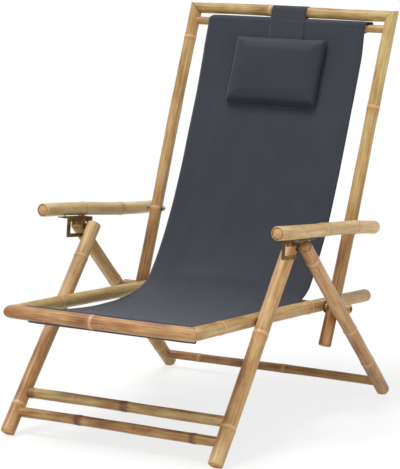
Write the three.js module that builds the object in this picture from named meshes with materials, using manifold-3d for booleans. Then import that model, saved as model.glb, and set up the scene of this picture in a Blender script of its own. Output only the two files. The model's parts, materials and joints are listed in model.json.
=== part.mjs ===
// Bamboo folding recliner: two folding leg frames, a seat frame, a reclining back and two armrests.
// Millimetres, +Z up, the chair faces -Y. The side layout is drawn with Y = 0 at the seat's front
// corner and Z = 0 on the floor; the finished group is centred so its origin is under the middle.
import * as THREE from "three";
import { mergeVertices } from "three/addons/utils/BufferGeometryUtils.js";
import Module from "manifold-3d";

const wasm = await Module();
wasm.setup();

// Pole diameters
const frontLegDiameter = 32.5;
const rearLegDiameter = 32;
const seatRailDiameter = 30.5;
const frontRailDiameter = 30.5;
const stileDiameter = 30;
const topRailDiameter = 27;
const armDiameter = 30.5;
const pivotRodDiameter = 20;
const topRodDiameter = 20;
const frontRodDiameter = 16;
const upperStretcherDiameter = 24;
const lowerStretcherDiameter = 23;
const rearStretcherDiameter = 22;

// Bamboo rings and cut ends
const ringRise = 1.3;
const ringReach = 5;
const endRound = 2.5;
const thickSides = 14;
const thinSides = 12;

// Side layout: where the legs, seat, back and arms run
const frontFootPlace = 33;
const apexPlace = 392;
const apexHeight = 428;
const rearFootPlace = 848;
const footHeight = 8;
const frontLegPastApex = 9;
const rearLegPastApex = 9;
const seatFrontHeight = 295.7;
const seatDropAngle = THREE.MathUtils.degToRad(4.15);
const seatRailLength = 893;
const stileAngle = THREE.MathUtils.degToRad(66.8);
const stileBelowPivot = 94;
const stileAbovePivot = 729;
const topRodDrop = 33.5;
const armPivotAbovePivot = 199;
const armAheadOfPin = 159;
const armAbovePin = 39.7;
const armPastPivot = 60;

// Cross layout: half widths and the gaps between neighbouring layers
const seatHalfWidth = 227.5;
const seatLegGap = 2.7;
const seatStileGap = 3;
const apexGap = 8.3;
const armStileGap = 9;
const footSplay = 5.8;
const stileFlare = 8.5;
const pivotRodPastStile = 33.25;

// Stretchers, measured along the leg from its foot
const upperStretcherPlace = 105;
const lowerStretcherPlace = 55;
const rearStretcherPlace = 40;
const tenonDiameter = 12;
const tenonDepth = 12;

// Fits
const touchGap = 0.3;
const runningGap = 0.35;
const overrun = 20;
const weldTolerance = 1e-4;

// Pins, bolts, washers and plugs
const apexPinDiameter = 6;
const apexPinDepth = 16;
const apexWasherDiameter = 15;
const seatPinDiameter = 8;
const seatPinDepth = 22;
const seatWasherDiameter = 20;
const rodWasherDiameter = 30;
const armBoltDiameter = 6;
const armBoltDepth = 22;
const armSpacerDiameter = 14;
const nutAcross = 11;
const nutHeight = 5;
const nutWasherDiameter = 16;
const nutWasherThickness = 1.6;
const boltPastNut = 2.5;
const dowelDiameter = 6;
const dowelLength = 20;
const plugDiameter = 22;
const armPlugDepth = 14;
const legPlugDepth = 4;
const rodBoreDiameter = 11;
const rodBoreDepth = 9;
const pinSides = 12;
const ringSides = 16;
const nutSides = 6;

// Notched bracket under each armrest, measured from the pin in the armrest's own direction
const plateThickness = 2.5;
const bracketPastPin = 27;
const bracketBelowPin = 23.9;
const bracketFrontWall = 13.3;
const lipHeight = 8.5;
const lipShortOfPin = 10;
const laneAbovePin = 5.2;
const notchHeight = 8;
const notchPitch = 22;
const notchCount = 4;
const notchClearance = 0.75;
const plateCorner = 4;
const toothCorner = 2.5;
const flangePastScrew = 5;
const arcSteps = 5;
const screwDiameter = 3.5;
const screwLength = 14;
const screwHeadDiameter = 8;
const screwHeadHeight = 2;
const screwPlaceShares = [0.2, 0.8];
const screwWords = ["front", "rear"];

// Sling, its sleeves, the pillow and the strap
const slingThickness = 3;
const slingSideGap = 1.95;
const slingTopWiden = 9;
const slingBackAngle = THREE.MathUtils.degToRad(70.6);
const slingSeatAngle = THREE.MathUtils.degToRad(11);
const slingReachShare = 0.95;
const slingSplitShare = 0.5;
const slingSteps = 16;
const frontRodRise = 3.3;
const pillowWidth = 249;
const pillowHeight = 174;
const pillowDrop = 110;
const pillowShift = -1;
const pillowFrontCrown = 34;
const pillowBackCrown = 8;
const pillowSideDraw = 6;
const pillowColumns = 18;
const pillowRows = 14;
const strapWidth = 95;
const strapThickness = 2;
const strapShift = 1;

// Where the bamboo rings sit, as shares of each pole's length
const frontLegRingShares = [0.132, 0.43, 0.78];
const rearLegRingShares = [0.2, 0.56, 0.86];
const seatRailRingShares = [0.12, 0.42, 0.86];
const frontRailRingShares = [0.22, 0.62];
const stileRingShares = [0.3, 0.55, 0.82];
const topRailRingShares = [0.27, 0.73];
const armRingShares = [0.31, 0.62];
const stretcherRingShares = [0.3, 0.7];
const pivotRodRingShares = [0.5];

// Colours
const bambooColour = "#c8a473";
const darkBambooColour = "#b08a58";
const plugColour = "#c79a68";
const bronzeColour = "#6b5228";
const steelColour = "#8d8a84";
const blackSteelColour = "#2e2c2a";
const clothColour = "#4b4f55";
const pillowColour = "#43474d";

const chair = new THREE.Group();
const identity = new THREE.Matrix4();

// Helpers for places in the chair's side plane
function sidePoint(x, place) {
  return new THREE.Vector3(x, place.x, place.y);
}

function sideStep(place, angle, distance) {
  return new THREE.Vector2(place.x + Math.cos(angle) * distance, place.y + Math.sin(angle) * distance);
}

function angleTo(from, to) {
  return Math.atan2(to.y - from.y, to.x - from.x);
}

// A frame whose +Y runs from one point towards another, with its X level across the chair if it can be
function frameAlong(from, to) {
  const along = to.clone().sub(from).normalize();
  const across = new THREE.Vector3(1, 0, 0);
  if (Math.abs(along.x) > Math.SQRT1_2) {
    across.set(0, 1, 0);
  }
  across.addScaledVector(along, -across.dot(along)).normalize();
  const third = new THREE.Vector3().crossVectors(across, along);
  return new THREE.Matrix4().makeBasis(across, along, third).setPosition(from);
}

// Solids that can be joined and cut
function solidOf(geometry, matrix) {
  const bare = geometry.clone();
  bare.deleteAttribute("normal");
  bare.deleteAttribute("uv");
  bare.applyMatrix4(matrix);
  const merged = mergeVertices(bare, weldTolerance);
  const index = Array.from(merged.index.array);
  const triVerts = [];
  for (let i = 0; i < index.length; i += 3) {
    const [a, b, c] = [index[i], index[i + 1], index[i + 2]];
    if (a !== b && b !== c && c !== a) {
      triVerts.push(a, b, c);
    }
  }
  return new wasm.Manifold(
    new wasm.Mesh({
      numProp: 3,
      vertProperties: new Float32Array(merged.attributes.position.array),
      triVerts: new Uint32Array(triVerts),
    })
  );
}

function geometryOf(solid) {
  const mesh = solid.getMesh();
  const geometry = new THREE.BufferGeometry();
  geometry.setAttribute("position", new THREE.BufferAttribute(new Float32Array(mesh.vertProperties), 3));
  geometry.setIndex(new THREE.BufferAttribute(new Uint32Array(mesh.triVerts), 1));
  geometry.computeVertexNormals();
  return geometry;
}

// Cuts pieces given in chair space out of a piece given in its own frame, and joins others to it
function shaped(geometry, frame, cutters, additions = []) {
  const toLocal = frame.clone().invert();
  let solid = solidOf(geometry, identity);
  for (const cutter of cutters) {
    solid = solid.subtract(solidOf(cutter, toLocal));
  }
  for (const addition of additions) {
    solid = solid.add(solidOf(addition, toLocal));
  }
  return geometryOf(solid);
}

// Round bar between two points in chair space
function bar(from, to, radius, sides = pinSides) {
  const length = from.distanceTo(to);
  const geometry = new THREE.CylinderGeometry(radius, radius, length, sides);
  geometry.translate(0, length / 2, 0);
  geometry.applyMatrix4(frameAlong(from, to));
  return geometry;
}

// Cutter for a round hole that a bar of the given radius runs in with a gap all round
function hole(from, to, radius, gap = runningGap, sides = ringSides) {
  return bar(from, to, (radius + gap) / Math.cos(Math.PI / sides), sides);
}

// Everything beyond a plane, as a large block
function halfSpace(point, normal) {
  const size = seatRailLength;
  const geometry = new THREE.BoxGeometry(size, size, size);
  geometry.translate(0, size / 2, 0);
  geometry.applyMatrix4(frameAlong(point, point.clone().add(normal)));
  return geometry;
}

// Round ring with a through hole, lying along a line in chair space
function ring(from, to, innerRadius, outerRadius, sides = ringSides) {
  const length = from.distanceTo(to);
  const profile = [
    new THREE.Vector2(innerRadius, 0),
    new THREE.Vector2(outerRadius, 0),
    new THREE.Vector2(outerRadius, length),
    new THREE.Vector2(innerRadius, length),
    new THREE.Vector2(innerRadius, 0),
  ];
  const geometry = new THREE.LatheGeometry(profile, sides);
  geometry.applyMatrix4(frameAlong(from, to));
  return geometry;
}

// Bamboo pole from its own origin along +Y, with swollen rings and rounded cut ends
function poleGeometry(length, radius, ringShares, sides) {
  const profile = [
    new THREE.Vector2(0, 0),
    new THREE.Vector2(radius - endRound, 0),
    new THREE.Vector2(radius, endRound)
  ];
  for (const share of ringShares) {
    const middle = share * length;
    profile.push(new THREE.Vector2(radius, middle - ringReach));
    profile.push(new THREE.Vector2(radius + ringRise, middle));
    profile.push(new THREE.Vector2(radius, middle + ringReach));
  }
  profile.push(new THREE.Vector2(radius, length - endRound));
  profile.push(new THREE.Vector2(radius - endRound, length));
  profile.push(new THREE.Vector2(0, length));
  return new THREE.LatheGeometry(profile, sides);
}

function addPart(name, geometry, frame, colour, roughness, metalness = 0) {
  const material = new THREE.MeshStandardMaterial({ color: colour, roughness, metalness });
  const mesh = new THREE.Mesh(geometry, material);
  mesh.name = name;
  frame.decompose(mesh.position, mesh.quaternion, mesh.scale);
  chair.add(mesh);
}

function addPole(
  name, from, to, diameter, ringShares, cutters, additions,
  colour = bambooColour, sides = thickSides
) {
  const frame = frameAlong(from, to);
  const geometry = poleGeometry(from.distanceTo(to), diameter / 2, ringShares, sides);
  addPart(name, shaped(geometry, frame, cutters, additions), frame, colour, 0.55);
}

// A small piece made in chair space, moved to its own origin at a given place
function addSmall(name, geometry, place, colour, roughness, metalness) {
  const frame = new THREE.Matrix4().setPosition(place);
  geometry.applyMatrix4(frame.clone().invert());
  addPart(name, geometry, frame, colour, roughness, metalness);
}

// Side layout: pivots and directions
const frontFoot = new THREE.Vector2(frontFootPlace, footHeight);
const rearFoot = new THREE.Vector2(rearFootPlace, footHeight);
const apex = new THREE.Vector2(apexPlace, apexHeight);
const frontLegAngle = angleTo(frontFoot, apex);
const rearLegAngle = angleTo(rearFoot, apex);
const seatCorner = new THREE.Vector2(0, seatFrontHeight);

function crossing(pointA, angleA, pointB, angleB) {
  const gap = pointB.clone().sub(pointA);
  const reach = (gap.x * Math.sin(angleB) - gap.y * Math.cos(angleB)) / Math.sin(angleB - angleA);
  return sideStep(pointA, angleA, reach);
}

const seatPivot = crossing(seatCorner, -seatDropAngle, frontFoot, frontLegAngle);

// The pivot rod lies on the rear legs' upper side, where the seat rails pass
const rodOffset = pivotRodDiameter / 2 + rearLegDiameter / 2 + touchGap;
const rodLinePoint = sideStep(apex, rearLegAngle - Math.PI / 2, rodOffset);
const rodPivot = crossing(seatCorner, -seatDropAngle, rodLinePoint, rearLegAngle);
const stileBottom = sideStep(rodPivot, stileAngle, -stileBelowPivot);
const topCorner = sideStep(rodPivot, stileAngle, stileAbovePivot);
const armPivot = sideStep(rodPivot, stileAngle, armPivotAbovePivot);
const armAngle = angleTo(apex, armPivot) - Math.asin(armAbovePin / apex.distanceTo(armPivot));
const armFront = sideStep(sideStep(apex, armAngle + Math.PI / 2, armAbovePin), armAngle, -armAheadOfPin);
const armRear = sideStep(armPivot, armAngle, armPastPivot);

// Cross layout: the half width of each layer
const frontLegLength = frontFoot.distanceTo(apex);
const seatPivotShare = frontFoot.distanceTo(seatPivot) / frontLegLength;
const frontLegHalfAtSeat = seatHalfWidth + seatRailDiameter / 2 + seatLegGap + frontLegDiameter / 2;
const frontLegHalfAtApex = frontLegHalfAtSeat - footSplay * (1 - seatPivotShare);
const frontLegHalfAtFoot = frontLegHalfAtApex + footSplay;
const rearLegHalf = frontLegHalfAtApex + frontLegDiameter / 2 + apexGap + rearLegDiameter / 2;
const stileHalfAtRod = seatHalfWidth + seatRailDiameter / 2 + seatStileGap + stileDiameter / 2;
const pivotRodHalfLength = stileHalfAtRod + stileDiameter / 2 + pivotRodPastStile;

function stileHalfAt(reach) {
  return stileHalfAtRod + (stileFlare * reach) / stileAbovePivot;
}

function frontLegHalfAt(reach) {
  return frontLegHalfAtFoot + ((frontLegHalfAtApex - frontLegHalfAtFoot) * reach) / frontLegLength;
}

const stileHalfAtArm = stileHalfAt(armPivotAbovePivot);
const armHalf = stileHalfAtArm + stileDiameter / 2 + armStileGap + armDiameter / 2;
const plateHalf = frontLegHalfAtApex + frontLegDiameter / 2 + apexGap / 2;

// Rods that carry the sling
const topRodPlace = sideStep(topCorner, stileAngle, -topRodDrop);
const frontRodGap = ringRise + touchGap + slingThickness + runningGap;
const frontRodBehind = frontRailDiameter / 2 + frontRodGap + frontRodDiameter / 2;
const frontRodLevel = sideStep(seatCorner, -seatDropAngle, frontRodBehind);
const frontRodPlace = sideStep(frontRodLevel, Math.PI / 2, frontRodRise);

const sideNames = [
  { side: -1, word: "left" },
  { side: 1, word: "right" },
];

// Mitred corner between two poles: cutters for each, and the dowel that holds them
function mitre(corner, alongA, alongB) {
  const normal = alongA.clone().sub(alongB).normalize();
  const back = normal.clone().negate();
  const start = corner.clone().addScaledVector(normal, -dowelLength / 2);
  const end = corner.clone().addScaledVector(normal, dowelLength / 2);
  const deepStart = start.clone().addScaledVector(normal, -touchGap);
  const deepEnd = end.clone().addScaledVector(normal, touchGap);
  const socket = hole(deepStart, deepEnd, dowelDiameter / 2);
  return {
    cutA: [halfSpace(corner.clone().addScaledVector(normal, touchGap / 2), back), socket],
    cutB: [halfSpace(corner.clone().addScaledVector(back, touchGap / 2), normal), socket],
    dowel: bar(start, end, dowelDiameter / 2),
  };
}

// Leg frames

const stretchers = [
  { name: "front_stretcher_upper", place: upperStretcherPlace, diameter: upperStretcherDiameter },
  { name: "front_stretcher_lower", place: lowerStretcherPlace, diameter: lowerStretcherDiameter },
];

// A stretcher's tenon enters the leg from its inner face; the socket is a little wider and deeper
function tenonEnds(side, place, legHalf, legDiameter) {
  const face = legHalf - legDiameter / 2;
  const tip = face + tenonDepth;
  const inner = sidePoint(side * (face - overrun), place);
  return {
    socket: hole(inner, sidePoint(side * (tip + touchGap), place), tenonDiameter / 2),
    tenon: bar(inner, sidePoint(side * tip, place), tenonDiameter / 2),
  };
}

function floorCut(foot) {
  return halfSpace(new THREE.Vector3(0, foot.x, 0), new THREE.Vector3(0, 0, -1));
}

function apexHole(side) {
  const inner = frontLegHalfAtApex + frontLegDiameter / 2 - apexPinDepth - touchGap;
  const outer = rearLegHalf - rearLegDiameter / 2 + apexPinDepth + touchGap;
  return hole(sidePoint(side * inner, apex), sidePoint(side * outer, apex), apexPinDiameter / 2);
}

function seatPinHole(side) {
  const inner = seatHalfWidth + seatRailDiameter / 2 - seatPinDepth - touchGap;
  const outer = frontLegHalfAtSeat - frontLegDiameter / 2 + seatPinDepth + touchGap;
  return hole(sidePoint(side * inner, seatPivot), sidePoint(side * outer, seatPivot), seatPinDiameter / 2);
}

for (const { side, word } of sideNames) {
  const from = sidePoint(side * frontLegHalfAtFoot, frontFoot);
  const past = frontLegLength + frontLegPastApex;
  const to = sidePoint(side * frontLegHalfAt(past), sideStep(frontFoot, frontLegAngle, past));
  const cutters = [floorCut(frontFoot), apexHole(side), seatPinHole(side)];
  for (const { place } of stretchers) {
    const middle = sideStep(frontFoot, frontLegAngle, place);
    cutters.push(tenonEnds(side, middle, frontLegHalfAt(place), frontLegDiameter).socket);
  }
  addPole(`front_leg_${word}`, from, to, frontLegDiameter, frontLegRingShares, cutters, []);
}

for (const { side, word } of sideNames) {
  const from = sidePoint(side * rearLegHalf, rearFoot);
  const top = sideStep(apex, rearLegAngle, rearLegPastApex);
  const to = sidePoint(side * rearLegHalf, top);
  const plugSeat = sidePoint(side * rearLegHalf, sideStep(top, rearLegAngle, -legPlugDepth));
  const beyond = sidePoint(side * rearLegHalf, sideStep(top, rearLegAngle, overrun));
  const middle = sideStep(rearFoot, rearLegAngle, rearStretcherPlace);
  const cutters = [
    floorCut(rearFoot),
    apexHole(side),
    hole(plugSeat, beyond, plugDiameter / 2, touchGap),
    tenonEnds(side, middle, rearLegHalf, rearLegDiameter).socket,
  ];
  addPole(`rear_leg_${word}`, from, to, rearLegDiameter, rearLegRingShares, cutters, []);
  const plugStart = sidePoint(side * rearLegHalf, sideStep(top, rearLegAngle, touchGap - legPlugDepth));
  addSmall(`rear_leg_plug_${word}`, bar(plugStart, to, plugDiameter / 2, ringSides), to, plugColour, 0.7);
}

// A stretcher ends against the legs' round sides and carries a tenon into each
function addStretcher(name, place, diameter, legHalf, legDiameter, legFrom, legTo) {
  const from = sidePoint(-legHalf, place);
  const to = sidePoint(legHalf, place);
  const cutters = [];
  const additions = [];
  for (const { side } of sideNames) {
    const start = sidePoint(side * legFrom.half, legFrom.place);
    const end = sidePoint(side * legTo.half, legTo.place);
    cutters.push(hole(start, end, legDiameter / 2, touchGap));
    additions.push(tenonEnds(side, place, legHalf, legDiameter).tenon);
  }
  addPole(name, from, to, diameter, stretcherRingShares, cutters, additions, darkBambooColour, thinSides);
}

for (const { name, place, diameter } of stretchers) {
  const middle = sideStep(frontFoot, frontLegAngle, place);
  const legFrom = { half: frontLegHalfAt(0), place: frontFoot };
  const legTo = { half: frontLegHalfAtApex, place: apex };
  addStretcher(name, middle, diameter, frontLegHalfAt(place), frontLegDiameter, legFrom, legTo);
}
const rearStretcherMiddle = sideStep(rearFoot, rearLegAngle, rearStretcherPlace);
const rearFrom = { half: rearLegHalf, place: rearFoot };
const rearTo = { half: rearLegHalf, place: apex };
addStretcher(
  "rear_stretcher", rearStretcherMiddle, rearStretcherDiameter, rearLegHalf, rearLegDiameter, rearFrom, rearTo
);

// Apex pins join the leg frames; a washer on each side keeps the bracket plate in the middle
for (const { side, word } of sideNames) {
  const frontFace = frontLegHalfAtApex + frontLegDiameter / 2;
  const rearFace = rearLegHalf - rearLegDiameter / 2;
  const start = sidePoint(side * (frontFace - apexPinDepth), apex);
  const end = sidePoint(side * (rearFace + apexPinDepth), apex);
  const middle = sidePoint(side * plateHalf, apex);
  addSmall(`apex_pin_${word}`, bar(start, end, apexPinDiameter / 2), middle, steelColour, 0.4, 0.9);
  const innerRadius = apexPinDiameter / 2 + runningGap;
  const plateFace = plateThickness / 2 + touchGap;
  const washers = [
    { name: `apex_inner_washer_${word}`, from: frontFace + touchGap, to: plateHalf - plateFace },
    { name: `apex_outer_washer_${word}`, from: plateHalf + plateFace, to: rearFace - touchGap },
  ];
  for (const washer of washers) {
    const a = sidePoint(side * washer.from, apex);
    const b = sidePoint(side * washer.to, apex);
    addSmall(washer.name, ring(a, b, innerRadius, apexWasherDiameter / 2), a, blackSteelColour, 0.5, 0.6);
  }
}

// Seat frame

const seatAlong = new THREE.Vector3(0, Math.cos(seatDropAngle), -Math.sin(seatDropAngle));
const seatDowels = [];
const frontRailCuts = [];
for (const { side, word } of sideNames) {
  const corner = sidePoint(side * seatHalfWidth, seatCorner);
  const joint = mitre(corner, seatAlong, new THREE.Vector3(-side, 0, 0));
  frontRailCuts.push(...joint.cutB);
  seatDowels.push({ word, corner, geometry: joint.dowel });
  const from = corner.clone().addScaledVector(seatAlong, -seatRailDiameter);
  const to = corner.clone().addScaledVector(seatAlong, seatRailLength);
  const rodSocketDepth = frontRodDiameter / 2;
  const face = seatHalfWidth - seatRailDiameter / 2;
  const rodSocket = hole(
    sidePoint(side * (face - overrun), frontRodPlace),
    sidePoint(side * (face + rodSocketDepth + touchGap), frontRodPlace),
    frontRodDiameter / 2
  );
  const rodHole = hole(
    sidePoint(side * (face - overrun), rodPivot),
    sidePoint(side * (seatHalfWidth + seatRailDiameter / 2 + overrun), rodPivot),
    pivotRodDiameter / 2
  );
  const cutters = [...joint.cutA, seatPinHole(side), rodSocket, rodHole];
  addPole(`seat_rail_${word}`, from, to, seatRailDiameter, seatRailRingShares, cutters, []);
}

const frontRailReach = seatHalfWidth + frontRailDiameter;
addPole(
  "seat_front_rail", sidePoint(-frontRailReach, seatCorner), sidePoint(frontRailReach, seatCorner),
  frontRailDiameter, frontRailRingShares, frontRailCuts, []
);

for (const { word, corner, geometry } of seatDowels) {
  addSmall(`seat_corner_dowel_${word}`, geometry, corner, plugColour, 0.7);
}

function addRod(name, place, half, diameter, ringShares, cutters) {
  const from = sidePoint(-half, place);
  const to = sidePoint(half, place);
  addPole(name, from, to, diameter, ringShares, cutters, [], darkBambooColour, thinSides);
}

const frontRodHalf = seatHalfWidth - seatRailDiameter / 2 + frontRodDiameter / 2;
addRod("sling_rod_front", frontRodPlace, frontRodHalf, frontRodDiameter, [], []);

const rodBores = [];
for (const { side } of sideNames) {
  const start = sidePoint(side * (pivotRodHalfLength - rodBoreDepth), rodPivot);
  rodBores.push(bar(start, sidePoint(side * (pivotRodHalfLength + overrun), rodPivot), rodBoreDiameter / 2));
}
addRod("pivot_rod", rodPivot, pivotRodHalfLength, pivotRodDiameter, pivotRodRingShares, rodBores);

for (const { side, word } of sideNames) {
  const railFace = seatHalfWidth + seatRailDiameter / 2 + touchGap;
  const stileFace = stileHalfAtRod - stileDiameter / 2 - touchGap;
  const a = sidePoint(side * railFace, rodPivot);
  const b = sidePoint(side * stileFace, rodPivot);
  const washer = ring(a, b, pivotRodDiameter / 2 + runningGap, rodWasherDiameter / 2);
  addSmall(`pivot_rod_washer_${word}`, washer, a, blackSteelColour, 0.5, 0.6);
}

for (const { side, word } of sideNames) {
  const railFace = seatHalfWidth + seatRailDiameter / 2;
  const legFace = frontLegHalfAtSeat - frontLegDiameter / 2;
  const start = sidePoint(side * (railFace - seatPinDepth), seatPivot);
  const end = sidePoint(side * (legFace + seatPinDepth), seatPivot);
  addSmall(`seat_pivot_pin_${word}`, bar(start, end, seatPinDiameter / 2), start, steelColour, 0.4, 0.9);
  const a = sidePoint(side * (railFace + touchGap), seatPivot);
  const b = sidePoint(side * (legFace - touchGap), seatPivot);
  const washer = ring(a, b, seatPinDiameter / 2 + runningGap, seatWasherDiameter / 2);
  addSmall(`seat_pivot_washer_${word}`, washer, a, blackSteelColour, 0.5, 0.6);
}

// Back frame

const topRailCuts = [];
const topDowels = [];
for (const { side, word } of sideNames) {
  const corner = sidePoint(side * stileHalfAt(stileAbovePivot), topCorner);
  const bottom = sidePoint(side * stileHalfAt(-stileBelowPivot), stileBottom);
  const downward = bottom.clone().sub(corner).normalize();
  const joint = mitre(corner, downward, new THREE.Vector3(-side, 0, 0));
  topRailCuts.push(...joint.cutB);
  topDowels.push({ word, corner, geometry: joint.dowel });
  const to = corner.clone().addScaledVector(downward, -stileDiameter);
  const rodFace = stileHalfAt(stileAbovePivot - topRodDrop) - stileDiameter / 2;
  const rodSocket = hole(
    sidePoint(side * (rodFace - overrun), topRodPlace),
    sidePoint(side * (rodFace + topRodDiameter / 2 + touchGap), topRodPlace),
    topRodDiameter / 2
  );
  const pivotHole = hole(
    sidePoint(side * (stileHalfAtRod - stileDiameter), rodPivot),
    sidePoint(side * (stileHalfAtRod + stileDiameter), rodPivot),
    pivotRodDiameter / 2
  );
  const boltHole = hole(
    sidePoint(side * (stileHalfAtArm - stileDiameter), armPivot),
    sidePoint(side * (stileHalfAtArm + stileDiameter), armPivot),
    armBoltDiameter / 2
  );
  const cutters = [...joint.cutA, rodSocket, pivotHole, boltHole];
  addPole(`back_stile_${word}`, bottom, to, stileDiameter, stileRingShares, cutters, []);
}

const topRailReach = stileHalfAt(stileAbovePivot) + topRailDiameter;
addPole(
  "top_rail", sidePoint(-topRailReach, topCorner), sidePoint(topRailReach, topCorner),
  topRailDiameter, topRailRingShares, topRailCuts, []
);

for (const { word, corner, geometry } of topDowels) {
  addSmall(`top_corner_dowel_${word}`, geometry, corner, plugColour, 0.7);
}

const topRodHalf = stileHalfAt(stileAbovePivot - topRodDrop) - stileDiameter / 2 + topRodDiameter / 2;
addRod("sling_rod_top", topRodPlace, topRodHalf, topRodDiameter, [], []);

// Armrests with their pivot bolts

const armLength = armFront.distanceTo(armRear);
const flangeTop = armDiameter / 2 + ringRise + touchGap;
const notchHalf = apexPinDiameter / 2 + notchClearance;
const firstNotch = armAheadOfPin - notchPitch * (notchCount - 1);
const bracketFront = firstNotch - notchHalf - bracketFrontWall;
const bracketRear = armAheadOfPin + bracketPastPin;
const bracketDrop = armAbovePin + bracketBelowPin;
const flangeWidth = armHalf - plateHalf + plateThickness / 2 + flangePastScrew;

// A place on the armrest: distance behind its front end and distance below its centre line
function armPoint(x, behind, below) {
  return sidePoint(x, sideStep(sideStep(armFront, armAngle, behind), armAngle - Math.PI / 2, below));
}

const screwPlaces = screwPlaceShares.map((share) => bracketFront + share * (bracketRear - bracketFront));
const headTop = flangeTop + plateThickness + touchGap;

for (const { side, word } of sideNames) {
  const from = armPoint(side * armHalf, 0, 0);
  const to = armPoint(side * armHalf, armLength, 0);
  const plugEnd = armPoint(side * armHalf, armPlugDepth, 0);
  const boltEnd = armHalf - armDiameter / 2 + armBoltDepth;
  const cutters = [
    hole(armPoint(side * armHalf, -overrun, 0), plugEnd, plugDiameter / 2, touchGap),
    hole(
      sidePoint(side * (armHalf - armDiameter), armPivot),
      sidePoint(side * (boltEnd + touchGap), armPivot),
      armBoltDiameter / 2
    ),
  ];
  for (const place of screwPlaces) {
    const tip = armPoint(side * armHalf, place, headTop - screwLength - touchGap);
    cutters.push(hole(armPoint(side * armHalf, place, armDiameter), tip, screwDiameter / 2));
  }
  addPole(`armrest_${word}`, from, to, armDiameter, armRingShares, cutters, []);
  const plugInner = armPoint(side * armHalf, armPlugDepth - touchGap, 0);
  addSmall(`armrest_plug_${word}`, bar(from, plugInner, plugDiameter / 2, ringSides), from, plugColour, 0.7);

  const stileInner = stileHalfAtArm - stileDiameter / 2;
  const stileOuter = stileHalfAtArm + stileDiameter / 2;
  const washerEnd = stileInner - touchGap - nutWasherThickness;
  const nutStart = washerEnd - touchGap;
  const nutEnd = nutStart - nutHeight;
  const boltStart = sidePoint(side * (nutEnd - boltPastNut), armPivot);
  const bolt = bar(boltStart, sidePoint(side * boltEnd, armPivot), armBoltDiameter / 2);
  addSmall(`arm_pivot_bolt_${word}`, bolt, boltStart, steelColour, 0.4, 0.9);
  const boltRadius = armBoltDiameter / 2 + runningGap;
  const rings = [
    { name: `arm_pivot_nut_${word}`, from: nutEnd, to: nutStart, across: nutAcross, sides: nutSides },
    {
      name: `arm_pivot_washer_${word}`,
      from: washerEnd,
      to: stileInner - touchGap,
      across: nutWasherDiameter,
      sides: ringSides,
    },
    {
      name: `arm_pivot_spacer_${word}`,
      from: stileOuter + touchGap,
      to: armHalf - armDiameter / 2 - touchGap,
      across: armSpacerDiameter,
      sides: ringSides,
    },
  ];
  for (const piece of rings) {
    const a = sidePoint(side * piece.from, armPivot);
    const b = sidePoint(side * piece.to, armPivot);
    const geometry = ring(a, b, boltRadius / Math.cos(Math.PI / piece.sides), piece.across / 2, piece.sides);
    addSmall(piece.name, geometry, a, steelColour, 0.4, 0.9);
  }
}

// Notched bracket: a slot that runs below a row of notches, closed in front and open behind
function bracketShape() {
  const laneTop = -(armAbovePin - laneAbovePin);
  const laneBottom = -(bracketDrop - lipHeight);
  const toothHeight = laneTop + toothCorner;
  const notchCentre = laneTop + notchHeight - notchHalf;
  const windowFront = firstNotch - notchHalf;
  const lipEnd = armAheadOfPin - lipShortOfPin;
  const shape = new THREE.Shape();
  shape.moveTo(bracketFront + plateCorner, -bracketDrop);
  shape.lineTo(lipEnd, -bracketDrop);
  shape.lineTo(lipEnd, laneBottom);
  shape.lineTo(windowFront + plateCorner, laneBottom);
  const cornerHeight = laneBottom + plateCorner;
  shape.absarc(windowFront + plateCorner, cornerHeight, plateCorner, -Math.PI / 2, -Math.PI, true);
  for (let i = 0; i < notchCount; i += 1) {
    const centre = firstNotch + i * notchPitch;
    shape.lineTo(centre - notchHalf, notchCentre);
    shape.absarc(centre, notchCentre, notchHalf, Math.PI, 0, true);
    const tooth = centre + notchHalf + toothCorner;
    shape.absarc(tooth, toothHeight, toothCorner, Math.PI, Math.PI * 1.5, false);
    if (i < notchCount - 1) {
      const nextTooth = centre + notchPitch - notchHalf - toothCorner;
      shape.absarc(nextTooth, toothHeight, toothCorner, Math.PI * 1.5, Math.PI * 2, false);
    }
  }
  shape.lineTo(bracketRear, laneTop);
  shape.lineTo(bracketRear, -flangeTop);
  shape.lineTo(bracketFront, -flangeTop);
  shape.lineTo(bracketFront, plateCorner - bracketDrop);
  const cornerPlace = [bracketFront + plateCorner, plateCorner - bracketDrop];
  shape.absarc(...cornerPlace, plateCorner, Math.PI, Math.PI * 1.5, false);
  return shape;
}

// The shape is drawn along the armrest and upwards, and its thickness runs across the chair
const shapeToArm = new THREE.Matrix4().makeBasis(
  new THREE.Vector3(0, 1, 0),
  new THREE.Vector3(0, 0, 1),
  new THREE.Vector3(1, 0, 0)
);

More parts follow.
